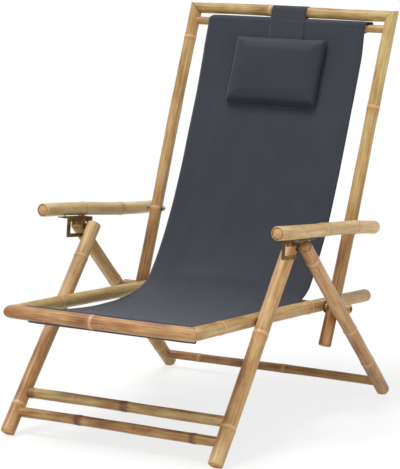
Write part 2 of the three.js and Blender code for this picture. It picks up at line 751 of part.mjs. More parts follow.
for (const { side, word } of sideNames) {
  const frame = frameAlong(armPoint(side * plateHalf, 0, 0), armPoint(side * plateHalf, armLength, 0));
  const plate = new THREE.ExtrudeGeometry(bracketShape(), {
    depth: plateThickness,
    bevelEnabled: false,
    curveSegments: arcSteps,
  });
  plate.translate(0, 0, -plateThickness / 2);
  plate.applyMatrix4(shapeToArm);
  const length = bracketRear - bracketFront;
  const flange = new THREE.BoxGeometry(flangeWidth, length, plateThickness);
  const flangeMiddle = (side * (flangeWidth - plateThickness)) / 2;
  flange.translate(flangeMiddle, bracketFront + length / 2, -flangeTop - plateThickness / 2);
  const holes = screwPlaces.map((place) => {
    const above = armPoint(side * armHalf, place, 0);
    const below = armPoint(side * armHalf, place, armDiameter);
    return hole(above, below, screwDiameter / 2);
  });
  flange.applyMatrix4(frame);
  const withFlange = shaped(plate, frame, [], [flange]);
  addPart(`bracket_${word}`, shaped(withFlange, frame, holes), frame, bronzeColour, 0.45, 0.8);

  screwPlaces.forEach((place, i) => {
    const tip = armPoint(side * armHalf, place, headTop - screwLength);
    const neck = armPoint(side * armHalf, place, headTop);
    const end = armPoint(side * armHalf, place, headTop + screwHeadHeight);
    const overlap = armPoint(side * armHalf, place, headTop + screwHeadHeight / 2);
    const shank = solidOf(bar(tip, overlap, screwDiameter / 2), identity);
    const screw = geometryOf(shank.add(solidOf(bar(neck, end, screwHeadDiameter / 2), identity)));
    addSmall(`bracket_screw_${screwWords[i]}_${word}`, screw, neck, steelColour, 0.4, 0.9);
  });
}

// Sling: a cloth hung between two rods in one sagging curve

const topNormal = slingBackAngle + Math.PI / 2;
const seatNormal = Math.PI / 2 - slingSeatAngle;
const slingTopLift = topRodDiameter / 2 + runningGap + slingThickness / 2;
const slingFrontLift = frontRodDiameter / 2 + runningGap + slingThickness / 2;
const slingTop = sideStep(topRodPlace, topNormal, slingTopLift);
const slingFront = sideStep(frontRodPlace, seatNormal, slingFrontLift);
const slingCorner = crossing(slingTop, slingBackAngle, slingFront, -slingSeatAngle);
const slingCurve = new THREE.CubicBezierCurve(
  slingTop,
  slingTop.clone().lerp(slingCorner, slingReachShare),
  slingFront.clone().lerp(slingCorner, slingReachShare),
  slingFront
);

function curveNormal(share) {
  const along = slingCurve.getTangent(share);
  return new THREE.Vector2(-along.y, along.x).negate();
}

// The cloth widens from its seat width, between the seat rails, to its top width
const slingSeatHalfWidth = seatHalfWidth - seatRailDiameter / 2 - ringRise - slingSideGap;
const slingTopHalfWidth = slingSeatHalfWidth + slingTopWiden;

function slingHalfAt(place) {
  const share = THREE.MathUtils.clamp((place - rodPivot.x) / (slingTop.x - rodPivot.x), 0, 1);
  return THREE.MathUtils.lerp(slingSeatHalfWidth, slingTopHalfWidth, share);
}

// A closed band along the curve, as thick as the cloth
function bandGeometry(startShare, endShare) {
  const outline = [];
  for (const face of [1, -1]) {
    for (let i = 0; i <= slingSteps; i += 1) {
      const step = face > 0 ? i : slingSteps - i;
      const share = THREE.MathUtils.lerp(startShare, endShare, step / slingSteps);
      const lift = (face * slingThickness) / 2;
      const place = slingCurve.getPoint(share).addScaledVector(curveNormal(share), lift);
      outline.push(place);
    }
  }
  const geometry = new THREE.ExtrudeGeometry(new THREE.Shape(outline), { depth: 1, bevelEnabled: false });
  geometry.translate(0, 0, -1 / 2);
  geometry.applyMatrix4(shapeToArm);
  const position = geometry.attributes.position;
  for (let i = 0; i < position.count; i += 1) {
    position.setX(i, position.getX(i) * 2 * slingHalfAt(position.getY(i)));
  }
  return geometry;
}

// Sleeve of cloth round a rod
function sleeve(place, rodDiameter) {
  const half = slingHalfAt(place.x);
  const inner = (rodDiameter / 2 + runningGap) / Math.cos(Math.PI / ringSides);
  const outer = rodDiameter / 2 + runningGap + slingThickness;
  return ring(sidePoint(-half, place), sidePoint(half, place), inner, outer);
}

const rodClearance = topRodDiameter / 2;

function addSling(name, startShare, endShare, rodPlace, rodDiameter) {
  const half = slingTopHalfWidth + rodClearance;
  const core = hole(sidePoint(-half, rodPlace), sidePoint(half, rodPlace), rodDiameter / 2);
  const joined = shaped(bandGeometry(startShare, endShare), identity, [], [sleeve(rodPlace, rodDiameter)]);
  addPart(name, shaped(joined, identity, [core]), identity, clothColour, 0.9);
}

const splitGapShare = touchGap / slingCurve.getLength();
addSling("sling_back", 0, slingSplitShare - splitGapShare, topRodPlace, topRodDiameter);
addSling("sling_seat", slingSplitShare + splitGapShare, 1, frontRodPlace, frontRodDiameter);

// Pillow: a crowned pad whose sides draw in between its corners

function pillowGeometry() {
  const positions = [];
  const index = [];
  const rowLength = pillowColumns + 1;
  const faceSize = rowLength * (pillowRows + 1);
  for (const face of [1, -1]) {
    const crown = face > 0 ? pillowFrontCrown : pillowBackCrown;
    for (let row = 0; row <= pillowRows; row += 1) {
      for (let column = 0; column <= pillowColumns; column += 1) {
        const u = Math.sin((Math.PI / 2) * ((2 * column) / pillowColumns - 1));
        const v = Math.sin((Math.PI / 2) * ((2 * row) / pillowRows - 1));
        const swell = Math.sqrt(Math.max(0, (1 - u ** 4) * (1 - v ** 4)));
        const x = (u * pillowWidth) / 2 - u * pillowSideDraw * (1 - v * v);
        const y = (v * pillowHeight) / 2 - v * pillowSideDraw * (1 - u * u);
        positions.push(x, y, face * crown * swell);
      }
    }
  }
  for (const face of [0, 1]) {
    for (let row = 0; row < pillowRows; row += 1) {
      for (let column = 0; column < pillowColumns; column += 1) {
        const a = face * faceSize + row * rowLength + column;
        const corners = [a, a + 1, a + rowLength + 1, a + rowLength];
        if (face === 1) {
          corners.reverse();
        }
        index.push(corners[0], corners[1], corners[2], corners[0], corners[2], corners[3]);
      }
    }
  }
  const geometry = new THREE.BufferGeometry();
  geometry.setAttribute("position", new THREE.Float32BufferAttribute(positions, 3));
  geometry.setIndex(index);
  return geometryOf(solidOf(geometry, identity));
}

const pillowShare = slingCurve.getUtoTmapping(0, pillowDrop + slingTopLift);
const pillowNormal = curveNormal(pillowShare);
const pillowLift = slingThickness / 2 + touchGap + pillowBackCrown + touchGap;
const pillowPlace = slingCurve.getPoint(pillowShare).addScaledVector(pillowNormal, pillowLift);
const pillowFrame = new THREE.Matrix4()
  .makeBasis(
    new THREE.Vector3(1, 0, 0),
    new THREE.Vector3(0, -pillowNormal.y, pillowNormal.x).negate(),
    new THREE.Vector3(0, pillowNormal.x, pillowNormal.y)
  )
  .setPosition(sidePoint(pillowShift, pillowPlace));
addPart("headrest_pillow", pillowGeometry(), pillowFrame, pillowColour, 0.9);

// Strap: a loop round the top rail, sewn to a tail that hangs in front of the sling to the pillow

const loopInner = (topRailDiameter / 2 + touchGap) / Math.cos(Math.PI / ringSides);
const loopMiddle = loopInner + strapThickness / 2;
const tailTop = sideStep(topCorner, topNormal, loopMiddle);
const pillowTopEdge = sideStep(pillowPlace, slingBackAngle, pillowHeight / 2 + touchGap);
const pillowEdgeGap = pillowTopEdge.clone().sub(tailTop);
const tailAngle = Math.atan2(pillowEdgeGap.y, pillowEdgeGap.x);
const tailLength = pillowEdgeGap.length();

const strapStart = sidePoint(strapShift, tailTop);
const strapFrame = frameAlong(strapStart, sidePoint(strapShift, sideStep(tailTop, tailAngle, 1)));
const tail = new THREE.BoxGeometry(strapWidth, tailLength, strapThickness);
tail.translate(0, tailLength / 2, 0);
const loopHalf = strapWidth / 2;
const loop = ring(
  sidePoint(strapShift - loopHalf, topCorner),
  sidePoint(strapShift + loopHalf, topCorner),
  loopInner,
  loopInner + strapThickness
);
addPart("headrest_strap", shaped(tail, strapFrame, [], [loop]), strapFrame, clothColour, 0.9);

// The origin is under the middle of the whole chair, on the floor
const bounds = new THREE.Box3().setFromObject(chair, true);
chair.position.set(0, -(bounds.min.y + bounds.max.y) / 2, -bounds.min.z);
chair.updateMatrixWorld(true);

export default chair;
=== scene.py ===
import json
import math
import random

import bmesh
import bpy
import numpy as np
from mathutils import Matrix, Vector, noise


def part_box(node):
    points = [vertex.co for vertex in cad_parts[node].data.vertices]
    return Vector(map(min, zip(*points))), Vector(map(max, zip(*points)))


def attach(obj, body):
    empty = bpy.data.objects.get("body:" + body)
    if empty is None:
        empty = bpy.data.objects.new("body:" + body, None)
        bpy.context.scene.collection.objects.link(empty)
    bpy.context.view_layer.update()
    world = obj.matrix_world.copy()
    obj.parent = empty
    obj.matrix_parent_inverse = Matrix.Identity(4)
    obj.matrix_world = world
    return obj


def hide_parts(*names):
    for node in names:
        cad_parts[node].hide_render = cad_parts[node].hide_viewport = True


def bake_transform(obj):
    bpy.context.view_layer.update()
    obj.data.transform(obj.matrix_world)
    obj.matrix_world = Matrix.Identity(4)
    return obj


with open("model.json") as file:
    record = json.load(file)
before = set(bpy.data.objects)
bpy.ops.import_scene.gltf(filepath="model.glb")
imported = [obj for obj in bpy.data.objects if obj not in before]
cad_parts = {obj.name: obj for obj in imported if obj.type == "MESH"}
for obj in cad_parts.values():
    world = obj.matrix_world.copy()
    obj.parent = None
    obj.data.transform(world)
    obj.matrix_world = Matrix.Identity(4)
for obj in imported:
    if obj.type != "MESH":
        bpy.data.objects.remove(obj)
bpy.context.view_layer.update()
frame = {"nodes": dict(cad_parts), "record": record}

# The layout below is in millimetres: Y = 0 at the seat's front corner, Z = 0 on the floor
MM = 0.001
SHIFT = sum(corner.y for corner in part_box("seat_front_rail")) / 2 / MM

FRONT_FOOT = (33, 8)
REAR_FOOT = (848, 8)
APEX = (392, 428)
SEAT_CORNER = (0, 295.7)
SEAT_DROP = math.radians(4.15)
SEAT_RAIL_LENGTH = 893
STILE_ANGLE = math.radians(66.8)
STILE_BELOW, STILE_ABOVE = 94, 729
ARM_PIVOT_REACH = 199
ARM_AHEAD_OF_PIN, ARM_ABOVE_PIN, ARM_PAST_PIVOT = 159, 39.7, 60
TOP_ROD_DROP = 33.5

FRONT_LEG_R, REAR_LEG_R, SEAT_RAIL_R, FRONT_RAIL_R = 16.25, 16, 15.25, 15.25
STILE_R, TOP_RAIL_R, ARM_R = 15, 13.5, 15.25
PIVOT_ROD_R, TOP_ROD_R, FRONT_ROD_R = 10, 10, 8
UPPER_STRETCHER_R, LOWER_STRETCHER_R, REAR_STRETCHER_R = 12, 11.5, 11

SEAT_HALF = 227.5
SEAT_PIN_GAP, STILE_GAP, APEX_GAP, ARM_STILE_GAP = 2.7, 3, 8.3, 9
PIVOT_ROD_GAP, FRONT_ROD_GAP, FRONT_ROD_RISE = 0.3, 4.95, 3.3
FRONT_LEG_HALF_SEAT = SEAT_HALF + SEAT_RAIL_R + SEAT_PIN_GAP + FRONT_LEG_R
FOOT_SPLAY = 5.8
STILE_HALF_ROD = SEAT_HALF + SEAT_RAIL_R + STILE_GAP + STILE_R
STILE_FLARE = 8.5


def bell(gap, width):
    """1 where there is no gap, and next to nothing beyond twice the width."""
    return np.exp(-((gap / width) ** 2))


def srgb(red, green, blue):
    """A colour given as 0 to 255 screen values, as linear RGBA."""
    shares = [v / 255 for v in (red, green, blue)]
    return [v / 12.92 if v <= 0.04045 else ((v + 0.055) / 1.055) ** 2.4 for v in shares] + [1]


# Places in the chair's side plane

def step(place, angle, distance):
    return (place[0] + math.cos(angle) * distance, place[1] + math.sin(angle) * distance)


def angle_to(start, end):
    return math.atan2(end[1] - start[1], end[0] - start[0])


def crossing(a, angle_a, b, angle_b):
    """Where two lines cross, each given by a place and an angle."""
    gap = (b[0] - a[0], b[1] - a[1])
    reach = (gap[0] * math.sin(angle_b) - gap[1] * math.cos(angle_b)) / math.sin(angle_b - angle_a)
    return step(a, angle_a, reach)


def point(x, place):
    """A place in the side plane as a point of the chair, x to its right."""
    return Vector((x, place[0] + SHIFT, place[1]))


FRONT_LEG_ANGLE = angle_to(FRONT_FOOT, APEX)
REAR_LEG_ANGLE = angle_to(REAR_FOOT, APEX)
FRONT_LEG_LENGTH = math.dist(FRONT_FOOT, APEX)
SEAT_PIVOT = crossing(SEAT_CORNER, -SEAT_DROP, FRONT_FOOT, FRONT_LEG_ANGLE)
ROD_LINE = step(APEX, REAR_LEG_ANGLE - math.pi / 2, PIVOT_ROD_R + REAR_LEG_R + PIVOT_ROD_GAP)
ROD_PIVOT = crossing(SEAT_CORNER, -SEAT_DROP, ROD_LINE, REAR_LEG_ANGLE)
STILE_BOTTOM = step(ROD_PIVOT, STILE_ANGLE, -STILE_BELOW)
TOP_CORNER = step(ROD_PIVOT, STILE_ANGLE, STILE_ABOVE)
ARM_PIVOT = step(ROD_PIVOT, STILE_ANGLE, ARM_PIVOT_REACH)
ARM_ANGLE = angle_to(APEX, ARM_PIVOT) - math.asin(ARM_ABOVE_PIN / math.dist(APEX, ARM_PIVOT))
ARM_FRONT = step(step(APEX, ARM_ANGLE + math.pi / 2, ARM_ABOVE_PIN), ARM_ANGLE, -ARM_AHEAD_OF_PIN)
ARM_REAR = step(ARM_PIVOT, ARM_ANGLE, ARM_PAST_PIVOT)
SEAT_PIVOT_SHARE = math.dist(FRONT_FOOT, SEAT_PIVOT) / FRONT_LEG_LENGTH
FRONT_LEG_HALF_APEX = FRONT_LEG_HALF_SEAT - FOOT_SPLAY * (1 - SEAT_PIVOT_SHARE)
REAR_LEG_HALF = FRONT_LEG_HALF_APEX + FRONT_LEG_R + APEX_GAP + REAR_LEG_R


def leg_half(reach):
    """How far from the chair's middle a front leg's axis is, at a reach from its foot."""
    return FRONT_LEG_HALF_APEX + FOOT_SPLAY * (1 - reach / FRONT_LEG_LENGTH)


def stile_half(reach):
    """How far from the chair's middle a stile's axis is, at a reach above the pivot rod."""
    return STILE_HALF_ROD + STILE_FLARE * reach / STILE_ABOVE


ARM_HALF = stile_half(ARM_PIVOT_REACH) + STILE_R + ARM_STILE_GAP + ARM_R
TOP_ROD = step(TOP_CORNER, STILE_ANGLE, -TOP_ROD_DROP)
FRONT_ROD_BEHIND = FRONT_RAIL_R + FRONT_ROD_GAP + FRONT_ROD_R
FRONT_ROD = step(step(SEAT_CORNER, -SEAT_DROP, FRONT_ROD_BEHIND), math.pi / 2, FRONT_ROD_RISE)


# Node graphs

class Graph:
    """A material whose nodes are added with their inputs as values or as links."""

    def __init__(self, name, **sockets):
        self.material = bpy.data.materials.new(name)
        self.material.use_nodes = True
        self.tree = self.material.node_tree
        self.shader = self.tree.nodes["Principled BSDF"]
        self.set(self.shader, sockets)

    def set(self, node, sockets):
        for key, value in sockets.items():
            name = key.replace("_", " ") if isinstance(key, str) else key
            socket = node.inputs[name]
            if isinstance(value, bpy.types.NodeSocket):
                self.tree.links.new(value, socket)
            else:
                socket.default_value = value

    def add(self, kind, sockets=None, out=0, **settings):
        node = self.tree.nodes.new("ShaderNode" + kind)
        for key, value in settings.items():
            setattr(node, key, value)
        self.set(node, sockets or {})
        return node.outputs[out]

    def math(self, operation, *values, clamp=False):
        return self.add("Math", dict(enumerate(values)), operation=operation, use_clamp=clamp)

    def attribute(self, name, out="Vector"):
        return self.add("Attribute", out=out, attribute_name=name)

    def scaled(self, vector, scale):
        return self.add("VectorMath", {0: vector, 1: scale}, operation="MULTIPLY")

    def noise(self, vector, scale, detail=2.0, roughness=0.5):
        sockets = {"Vector": vector, "Scale": scale, "Detail": detail, "Roughness": roughness}
        return self.add("TexNoise", sockets)

    def ramp(self, value, stops):
        output = self.add("ValToRGB", {0: value})
        elements = output.node.color_ramp.elements
        while len(elements) < len(stops):
            elements.new(0.5)
        for element, (place, colour) in zip(elements, stops):
            element.position = place
            element.color = colour
        return output

    def fade(self, value, start, end):
        """0 at start and 1 at end, smooth between them."""
        sockets = {"Value": value, "From Min": start, "From Max": end}
        return self.add("MapRange", sockets, interpolation_type="SMOOTHSTEP")

    def mix(self, share, first, second, blend="MIX"):
        sockets = {0: share, 6: first, 7: second}
        return self.add("Mix", sockets, out=2, data_type="RGBA", blend_type=blend)

    def bump(self, height, distance):
        return self.add("Bump", {"Height": height, "Distance": distance, "Strength": 1.0})


def bamboo_material(name, brown):
    """Sanded bamboo skin: long fibres, smoky patches, and a pale ridge with a brown groove at each ring."""
    graph = Graph(name, Coat_Weight=0.12, Coat_Roughness=0.32, Specular_IOR_Level=0.45)
    place = graph.attribute("culm")
    ring = graph.attribute("ring", "Fac")
    tint = graph.attribute("tint", "Fac")
    fibre = graph.noise(graph.scaled(place, (1, 1, 0.045)), 900, 3, 0.65)
    streak = graph.noise(graph.scaled(place, (1, 1, 0.03)), 230, 3, 0.6)
    patch = graph.noise(graph.scaled(place, (1, 1, 0.3)), 42, 4, 0.6)
    cloud = graph.noise(graph.scaled(place, (1, 1, 0.5)), 13, 2, 0.5)
    tone = graph.math("MULTIPLY_ADD", streak, 0.42, graph.math("MULTIPLY", fibre, 0.2))
    tone = graph.math("MULTIPLY_ADD", patch, 0.46, tone)
    tone = graph.math("MULTIPLY_ADD", cloud, 0.36, tone)
    tone = graph.math("ADD", tone, graph.math("MULTIPLY_ADD", tint, 0.34, -0.39 - brown))
    colour = graph.ramp(
        tone,
        [
            (0.26, srgb(112, 72, 38)),
            (0.4, srgb(160, 116, 70)),
            (0.5, srgb(187, 149, 102)),
            (0.6, srgb(208, 178, 135)),
            (0.74, srgb(230, 208, 170)),
        ],
    )
    hue = graph.mix(graph.attribute("hue", "Fac"), srgb(255, 242, 230), srgb(243, 247, 216))
    colour = graph.mix(1.0, colour, hue, "MULTIPLY")
    reach = graph.math("ABSOLUTE", ring)
    ragged = graph.math("MULTIPLY_ADD", graph.math("SUBTRACT", patch, 0.5), 26.0, reach)
    blotch = graph.math("MULTIPLY_ADD", cloud, 2.2 if brown else 1.4, -0.1)
    halo = graph.math("MULTIPLY", graph.fade(ragged, 16.0 if brown else 12.0, 3.0), blotch, clamp=True)
    colour = graph.mix(halo, colour, srgb(104, 56, 28) if brown else srgb(190, 132, 80))
    band = graph.fade(graph.math("ABSOLUTE", graph.math("ADD", ring, -2.0)), 6.0, 1.0)
    pale = graph.math("MULTIPLY", band, 0.08 if brown else 0.5)
    colour = graph.mix(pale, colour, srgb(230, 202, 150))
    groove = graph.math("ABSOLUTE", graph.math("ADD", ring, 1.7))
    broken = graph.math("MULTIPLY", graph.fade(groove, 1.6, 0.2), graph.fade(streak, 0.38, 0.6))
    colour = graph.mix(graph.math("MULTIPLY", broken, 0.3), colour, srgb(122, 76, 40))
    speck = graph.fade(graph.noise(graph.scaled(place, (1, 1, 0.28)), 360, 3, 0.6), 0.62, 0.72)
    stain = graph.math("MULTIPLY", speck, graph.fade(cloud, 0.42, 0.6))
    colour = graph.mix(graph.math("MULTIPLY", stain, 0.6), colour, srgb(120, 76, 40))
    scar = graph.attribute("scar", "Fac")
    colour = graph.mix(graph.math("MULTIPLY", scar, 0.7), colour, srgb(112, 66, 34))
    rough = graph.math("MULTIPLY_ADD", patch, 0.22, 0.36)
    relief = graph.math("MULTIPLY_ADD", streak, 0.6, graph.math("MULTIPLY", fibre, 0.4))
    graph.set(graph.shader, {"Base Color": colour, "Roughness": rough, "Normal": graph.bump(relief, 0.00025)})
    return graph.material


def end_material(name):
    """Cut bamboo end: pale, with the dark dots of its fibres, and painted shade in dark brown in a bore and
    down the groove round a plug.
    """
    graph = Graph(name, Specular_IOR_Level=0.3)
    place = graph.attribute("culm")
    dots = graph.add("TexVoronoi", {"Vector": place, "Scale": 900}, out="Distance")
    patch = graph.noise(place, 110, 3, 0.6)
    hollow_shade = graph.attribute("hollow_shade", "Fac")
    colour = graph.ramp(patch, [(0.3, srgb(196, 144, 92)), (0.7, srgb(228, 184, 132))])
    colour = graph.mix(graph.math("MULTIPLY", graph.fade(dots, 0.42, 0.2), 0.5), colour, srgb(128, 84, 50))
    # Painted shade: the bore and the groove round a plug are darkened to brown
    colour = graph.mix(graph.math("MULTIPLY", hollow_shade, 0.75), colour, srgb(96, 58, 32))
    rough = graph.math("MULTIPLY_ADD", patch, 0.2, 0.62)
    graph.set(graph.shader, {"Base Color": colour, "Roughness": rough, "Normal": graph.bump(dots, 0.0002)})
    return graph.material


def cloth_material(name, thread, body, light, roughness, relief):
    """Plain woven cloth: over and under threads, with slow variation of tone."""
    sheen = {"Sheen_Weight": 0.34, "Sheen_Roughness": 0.4, "Sheen_Tint": (0.82, 0.86, 1, 1)}
    graph = Graph(name, Specular_IOR_Level=0.25, **sheen)
    split = graph.add("SeparateXYZ", {0: graph.attribute("weave")}).node.outputs
    waves = [graph.math("SINE", graph.math("MULTIPLY", axis, math.pi / thread)) for axis in split[:2]]
    over = graph.math("GREATER_THAN", graph.math("MULTIPLY", *waves), 0.0)
    sizes = [graph.math("ABSOLUTE", wave) for wave in waves]
    warp = graph.math("MULTIPLY", over, sizes[0])
    weft = graph.math("MULTIPLY", graph.math("SUBTRACT", 1.0, over), sizes[1])
    height = graph.math("ADD", warp, weft)
    slow = graph.noise(graph.attribute("weave"), 9, 3, 0.55)
    slub = graph.noise(graph.scaled(graph.attribute("weave"), (1, 0.04, 1)), 420, 2, 0.5)
    share = graph.math("MULTIPLY_ADD", slow, 0.5, graph.math("MULTIPLY", slub, 0.3))
    share = graph.math("MULTIPLY_ADD", height, 0.25, share)
    seam = graph.attribute("seam", "Fac")
    colour = graph.mix(graph.fade(share, 0.25, 0.85), body, light)
    colour = graph.mix(graph.math("MULTIPLY", seam, 0.55), colour, srgb(30, 32, 36))
    rough = graph.math("MULTIPLY_ADD", slow, 0.12, roughness)
    graph.set(graph.shader, {"Base Color": colour, "Roughness": rough, "Normal": graph.bump(height, relief)})
    return graph.material


def metal_material(name, dark, bright, roughness, metallic, scale):
    """Worn metal: a dark finish that is rubbed bright in patches."""
    graph = Graph(name, Metallic=metallic)
    place = graph.add("TexCoord", out="Object")
    fine = graph.noise(place, scale, 4, 0.6)
    broad = graph.noise(place, scale / 7, 3, 0.55)
    wear = graph.fade(graph.math("MULTIPLY_ADD", fine, 0.45, graph.math("MULTIPLY", broad, 0.55)), 0.42, 0.68)
    rough = graph.math("MULTIPLY_ADD", fine, 0.25, roughness)
    colour = graph.mix(wear, dark, bright)
    graph.set(graph.shader, {"Base Color": colour, "Roughness": rough, "Normal": graph.bump(fine, 0.00008)})
    return graph.material


BAMBOO = bamboo_material("bamboo_skin", 0.0)
DARK_BAMBOO = bamboo_material("bamboo_skin_brown", 0.06)
BAMBOO_END = end_material("bamboo_end_grain")
SLING_CLOTH = cloth_material("sling_weave", 0.0011, srgb(41, 45, 51), srgb(57, 61, 70), 0.62, 0.00018)
PILLOW_CLOTH = cloth_material("pillow_weave", 0.0007, srgb(32, 36, 42), srgb(43, 48, 55), 0.42, 0.0001)
BRONZE = metal_material("bracket_bronze", srgb(92, 68, 26), srgb(164, 124, 58), 0.42, 0.5, 260)
STEEL = metal_material("plain_steel", srgb(120, 116, 110), srgb(176, 172, 166), 0.3, 0.95, 500)
BLACK_STEEL = metal_material("black_steel", srgb(92, 64, 42), srgb(132, 96, 64), 0.45, 0.3, 400)


# Bamboo poles

POLE_SIDES = 48
STATION = 7
RING_STATIONS = [-12, -9, -7, -5.6, -4.8, -4.2, -3.6, -3, -2.2, -1.2, 0, 1.2, 2.4, 4, 6, 9, 12]
RING_CLEAR = 13
FAR_FROM_RING = 60
FILLET = 2.4
FILLET_STEPS = 5
SEAM_WELD = 0.00001
PLUG_SHARE, PLUG_STANDS_OUT, PLUG_GROOVE = 0.78, 0.5, 4
BORE_SHARE, BORE_DEPTH = 0.55, 9
SKIN, CUT, BORE = 0, 1, 2

FRONT_LEG_SCAR = (0.592, -1.15)

# Each pole's own look. Rings and scars lie at shares of its length, and a scar's second number is its
# turn round the pole. Tint runs from dark to pale, and hue from reddish to greenish. A pair of them holds
# for the pole's start and its end. Bow is in millimetres, first as one arc and then as an S.
POLE_LOOKS = {
    "leg_front_left": {"rings": [0.125, 0.833], "tint": (0.34, 0.72), "hue": 0.15, "bow": (1.2, -0.8),
                       "scars": [FRONT_LEG_SCAR]},
    "leg_front_right": {"rings": [0.158, 0.577], "tint": (0.66, 0.42), "hue": 0.4, "bow": (1.2, 0.8),
                        "scars": [FRONT_LEG_SCAR]},
    "leg_rear_left": {"rings": [0.12, 0.62], "hue": 0.8, "bow": (-1.0, 0.8)},
    "leg_rear_right": {"rings": [0.215, 0.447, 0.912], "hue": 0.1, "bow": (-1.0, 0.8)},
    "bar_front_stretcher_upper": {"rings": [0.02, 0.507], "tint": 0.86, "hue": 0.55, "bow": (0.8, 0.5),
                                  "taper": 0.04},
    "bar_front_stretcher_lower": {"rings": [0.312, 0.884], "tint": 0.54, "hue": 0.55, "bow": (0.8, 0.5),
                                  "taper": 0.04},
    "bar_rear_stretcher": {"rings": [0.156, 0.572], "tint": (0.2, 0.42), "hue": (0.0, 0.4),
                           "bow": (0.8, -0.6)},
    "rail_seat_left": {"rings": [0.237, 0.7], "tint": 0.74, "hue": 0.8, "bow": (-2.2, 0)},
    "rail_seat_right": {"rings": [0.16, 0.638], "tint": 0.58, "hue": 0.6, "bow": (-2.2, 0)},
    "rail_seat_front": {"rings": [0.454], "tint": 0.4, "hue": 0.0, "bow": (-0.8, 0.6),
                        "scars": [(0.88, -1.3), (0.06, -1.4)]},
    "rod_pivot": {"rings": [0.5], "tint": 0.6},
    "stile_back_left": {"rings": [0.34, 0.869], "tint": (0.26, 0.56), "hue": (0.3, 0.75), "bow": (-1.5, 1.2)},
    "stile_back_right": {"rings": [0.33, 0.69], "tint": (0.06, 0.84), "hue": (0.4, 1.0), "bow": (1.5, 1.2),
                         "scars": [(0.71, 0.9)]},
    "rail_top": {"rings": [0.4], "tint": 0.56, "hue": 0.9, "bow": (0.8, 0.8)},
    "arm_left": {"rings": [0.334, 0.666], "tint": 1.0, "hue": 0.55, "bow": (-1.2, 1.6)},
    "arm_right": {"rings": [0.433, 0.783], "tint": 0.74, "hue": 0.45, "bow": (2.4, -1.6)},
}


def ring_relief(gap):
    """How far the skin stands out at a distance from a ring's ridge."""
    ridge = 0.5 * bell(gap - 1.2, 1.8) + 0.6 * bell(gap, 10)
    sheath_line = 0.3 * bell(gap + 3.6, 0.9)
    return ridge + sheath_line - 0.55 * bell(gap + 1.8, 0.9)


def end_profile(radius, style):
    """A pole's end from its axis outwards: distance in from the end, radius, and the kind of surface."""
    if style == "plug":
        wall = radius * PLUG_SHARE
        inner = [
            (-PLUG_STANDS_OUT, 0, CUT), (-PLUG_STANDS_OUT, wall - 2, CUT), (0.4, wall - 1, CUT),
            (PLUG_GROOVE, wall - 0.6, CUT), (PLUG_GROOVE, wall + 0.7, CUT), (0.8, wall + 1, CUT),
        ]
    elif style == "hollow":
        wall = radius * BORE_SHARE
        inner = [(BORE_DEPTH, 0, BORE), (BORE_DEPTH, wall, BORE), (1, wall, BORE), (0, wall + 0.6, CUT)]
    else:
        inner = [(0.5, 0, CUT), (0.5, radius * 0.2, CUT), (0.1, radius * 0.32, CUT)]
    outer = []
    for i in range(FILLET_STEPS + 1):
        turn = math.pi / 2 * (1 - i / FILLET_STEPS)
        outer.append((FILLET * (1 - math.sin(turn)), radius - FILLET * (1 - math.cos(turn)), SKIN))
    return inner + outer


def frame_of(direction):
    """Two unit vectors square to a direction, the first level across the chair if it can be."""
    across = Vector((1, 0, 0)) if abs(direction.x) < 0.7 else Vector((0, 1, 0))
    across = (across - direction * across.dot(direction)).normalized()
    return across, direction.cross(across)


def grid_faces(rows, columns, closed):
    """Faces of a grid of rows, each joined to the next; closed joins the last column to the first."""
    faces = []
    for row in range(rows - 1):
        for column in range(columns if closed else columns - 1):
            after = (column + 1) % columns
            a, b = row * columns + column, row * columns + after
            faces.append((a, b, b + columns, a + columns))
    return faces


def make_object(name, points, faces, materials, indices=None):
    """A mesh object from points in millimetres."""
    mesh = bpy.data.meshes.new(name)
    mesh.from_pydata([tuple(p) for p in np.asarray(points) * MM], [], faces)
    for material in materials:
        mesh.materials.append(material)
    if indices is not None:
        mesh.polygons.foreach_set("material_index", indices)
    mesh.polygons.foreach_set("use_smooth", [True] * len(faces))
    piece = bpy.data.objects.new(name, mesh)
    bpy.context.scene.collection.objects.link(piece)
    return piece


def put_attribute(piece, name, values, kind="FLOAT"):
    attribute = piece.data.attributes.new(name, kind, "POINT")
    key = "vector" if kind == "FLOAT_VECTOR" else "value"
    attribute.data.foreach_set(key, np.asarray(values, np.float32).ravel())


def close_seams(piece):
    """Joins points that lie together, and turns every face outwards."""
    work = bmesh.new()
    work.from_mesh(piece.data)
    bmesh.ops.remove_doubles(work, verts=work.verts, dist=SEAM_WELD)
    bmesh.ops.recalc_face_normals(work, faces=work.faces)
    work.to_mesh(piece.data)
    work.free()


def cut_flat(piece, planes):
    """Cuts a closed piece at planes, given as a point and a direction to take away, and caps each cut."""
    work = bmesh.new()
    work.from_mesh(piece.data)
    for place, away in planes:
        every = work.verts[:] + work.edges[:] + work.faces[:]
        plane = {"plane_co": place * MM, "plane_no": away, "clear_outer": True}
        result = bmesh.ops.bisect_plane(work, geom=every, **plane)
        edges = [item for item in result["geom_cut"] if isinstance(item, bmesh.types.BMEdge)]
        filled = bmesh.ops.triangle_fill(work, use_beauty=True, use_dissolve=False, edges=edges, normal=away)
        for face in filled["geom"]:
            if isinstance(face, bmesh.types.BMFace):
                face.material_index = 1
                face.smooth = False
    work.to_mesh(piece.data)
    work.free()


def pole_stations(length, radius, rings, styles):
    """Stations along a pole: reach from its start, radius, and the kind of surface there."""
    reaches = set(np.arange(FILLET + 2, length - FILLET - 2, STATION).tolist())
    for ring in rings:
        near = {reach for reach in reaches if abs(reach - ring) < RING_CLEAR}
        reaches = (reaches - near) | {ring + gap for gap in RING_STATIONS}
    stations = list(end_profile(radius, styles[0]))
    stations += [(reach, radius, SKIN) for reach in sorted(reaches)]
    far_end = reversed(end_profile(radius, styles[1]))
    return stations + [(length - inset, own, kind) for inset, own, kind in far_end]


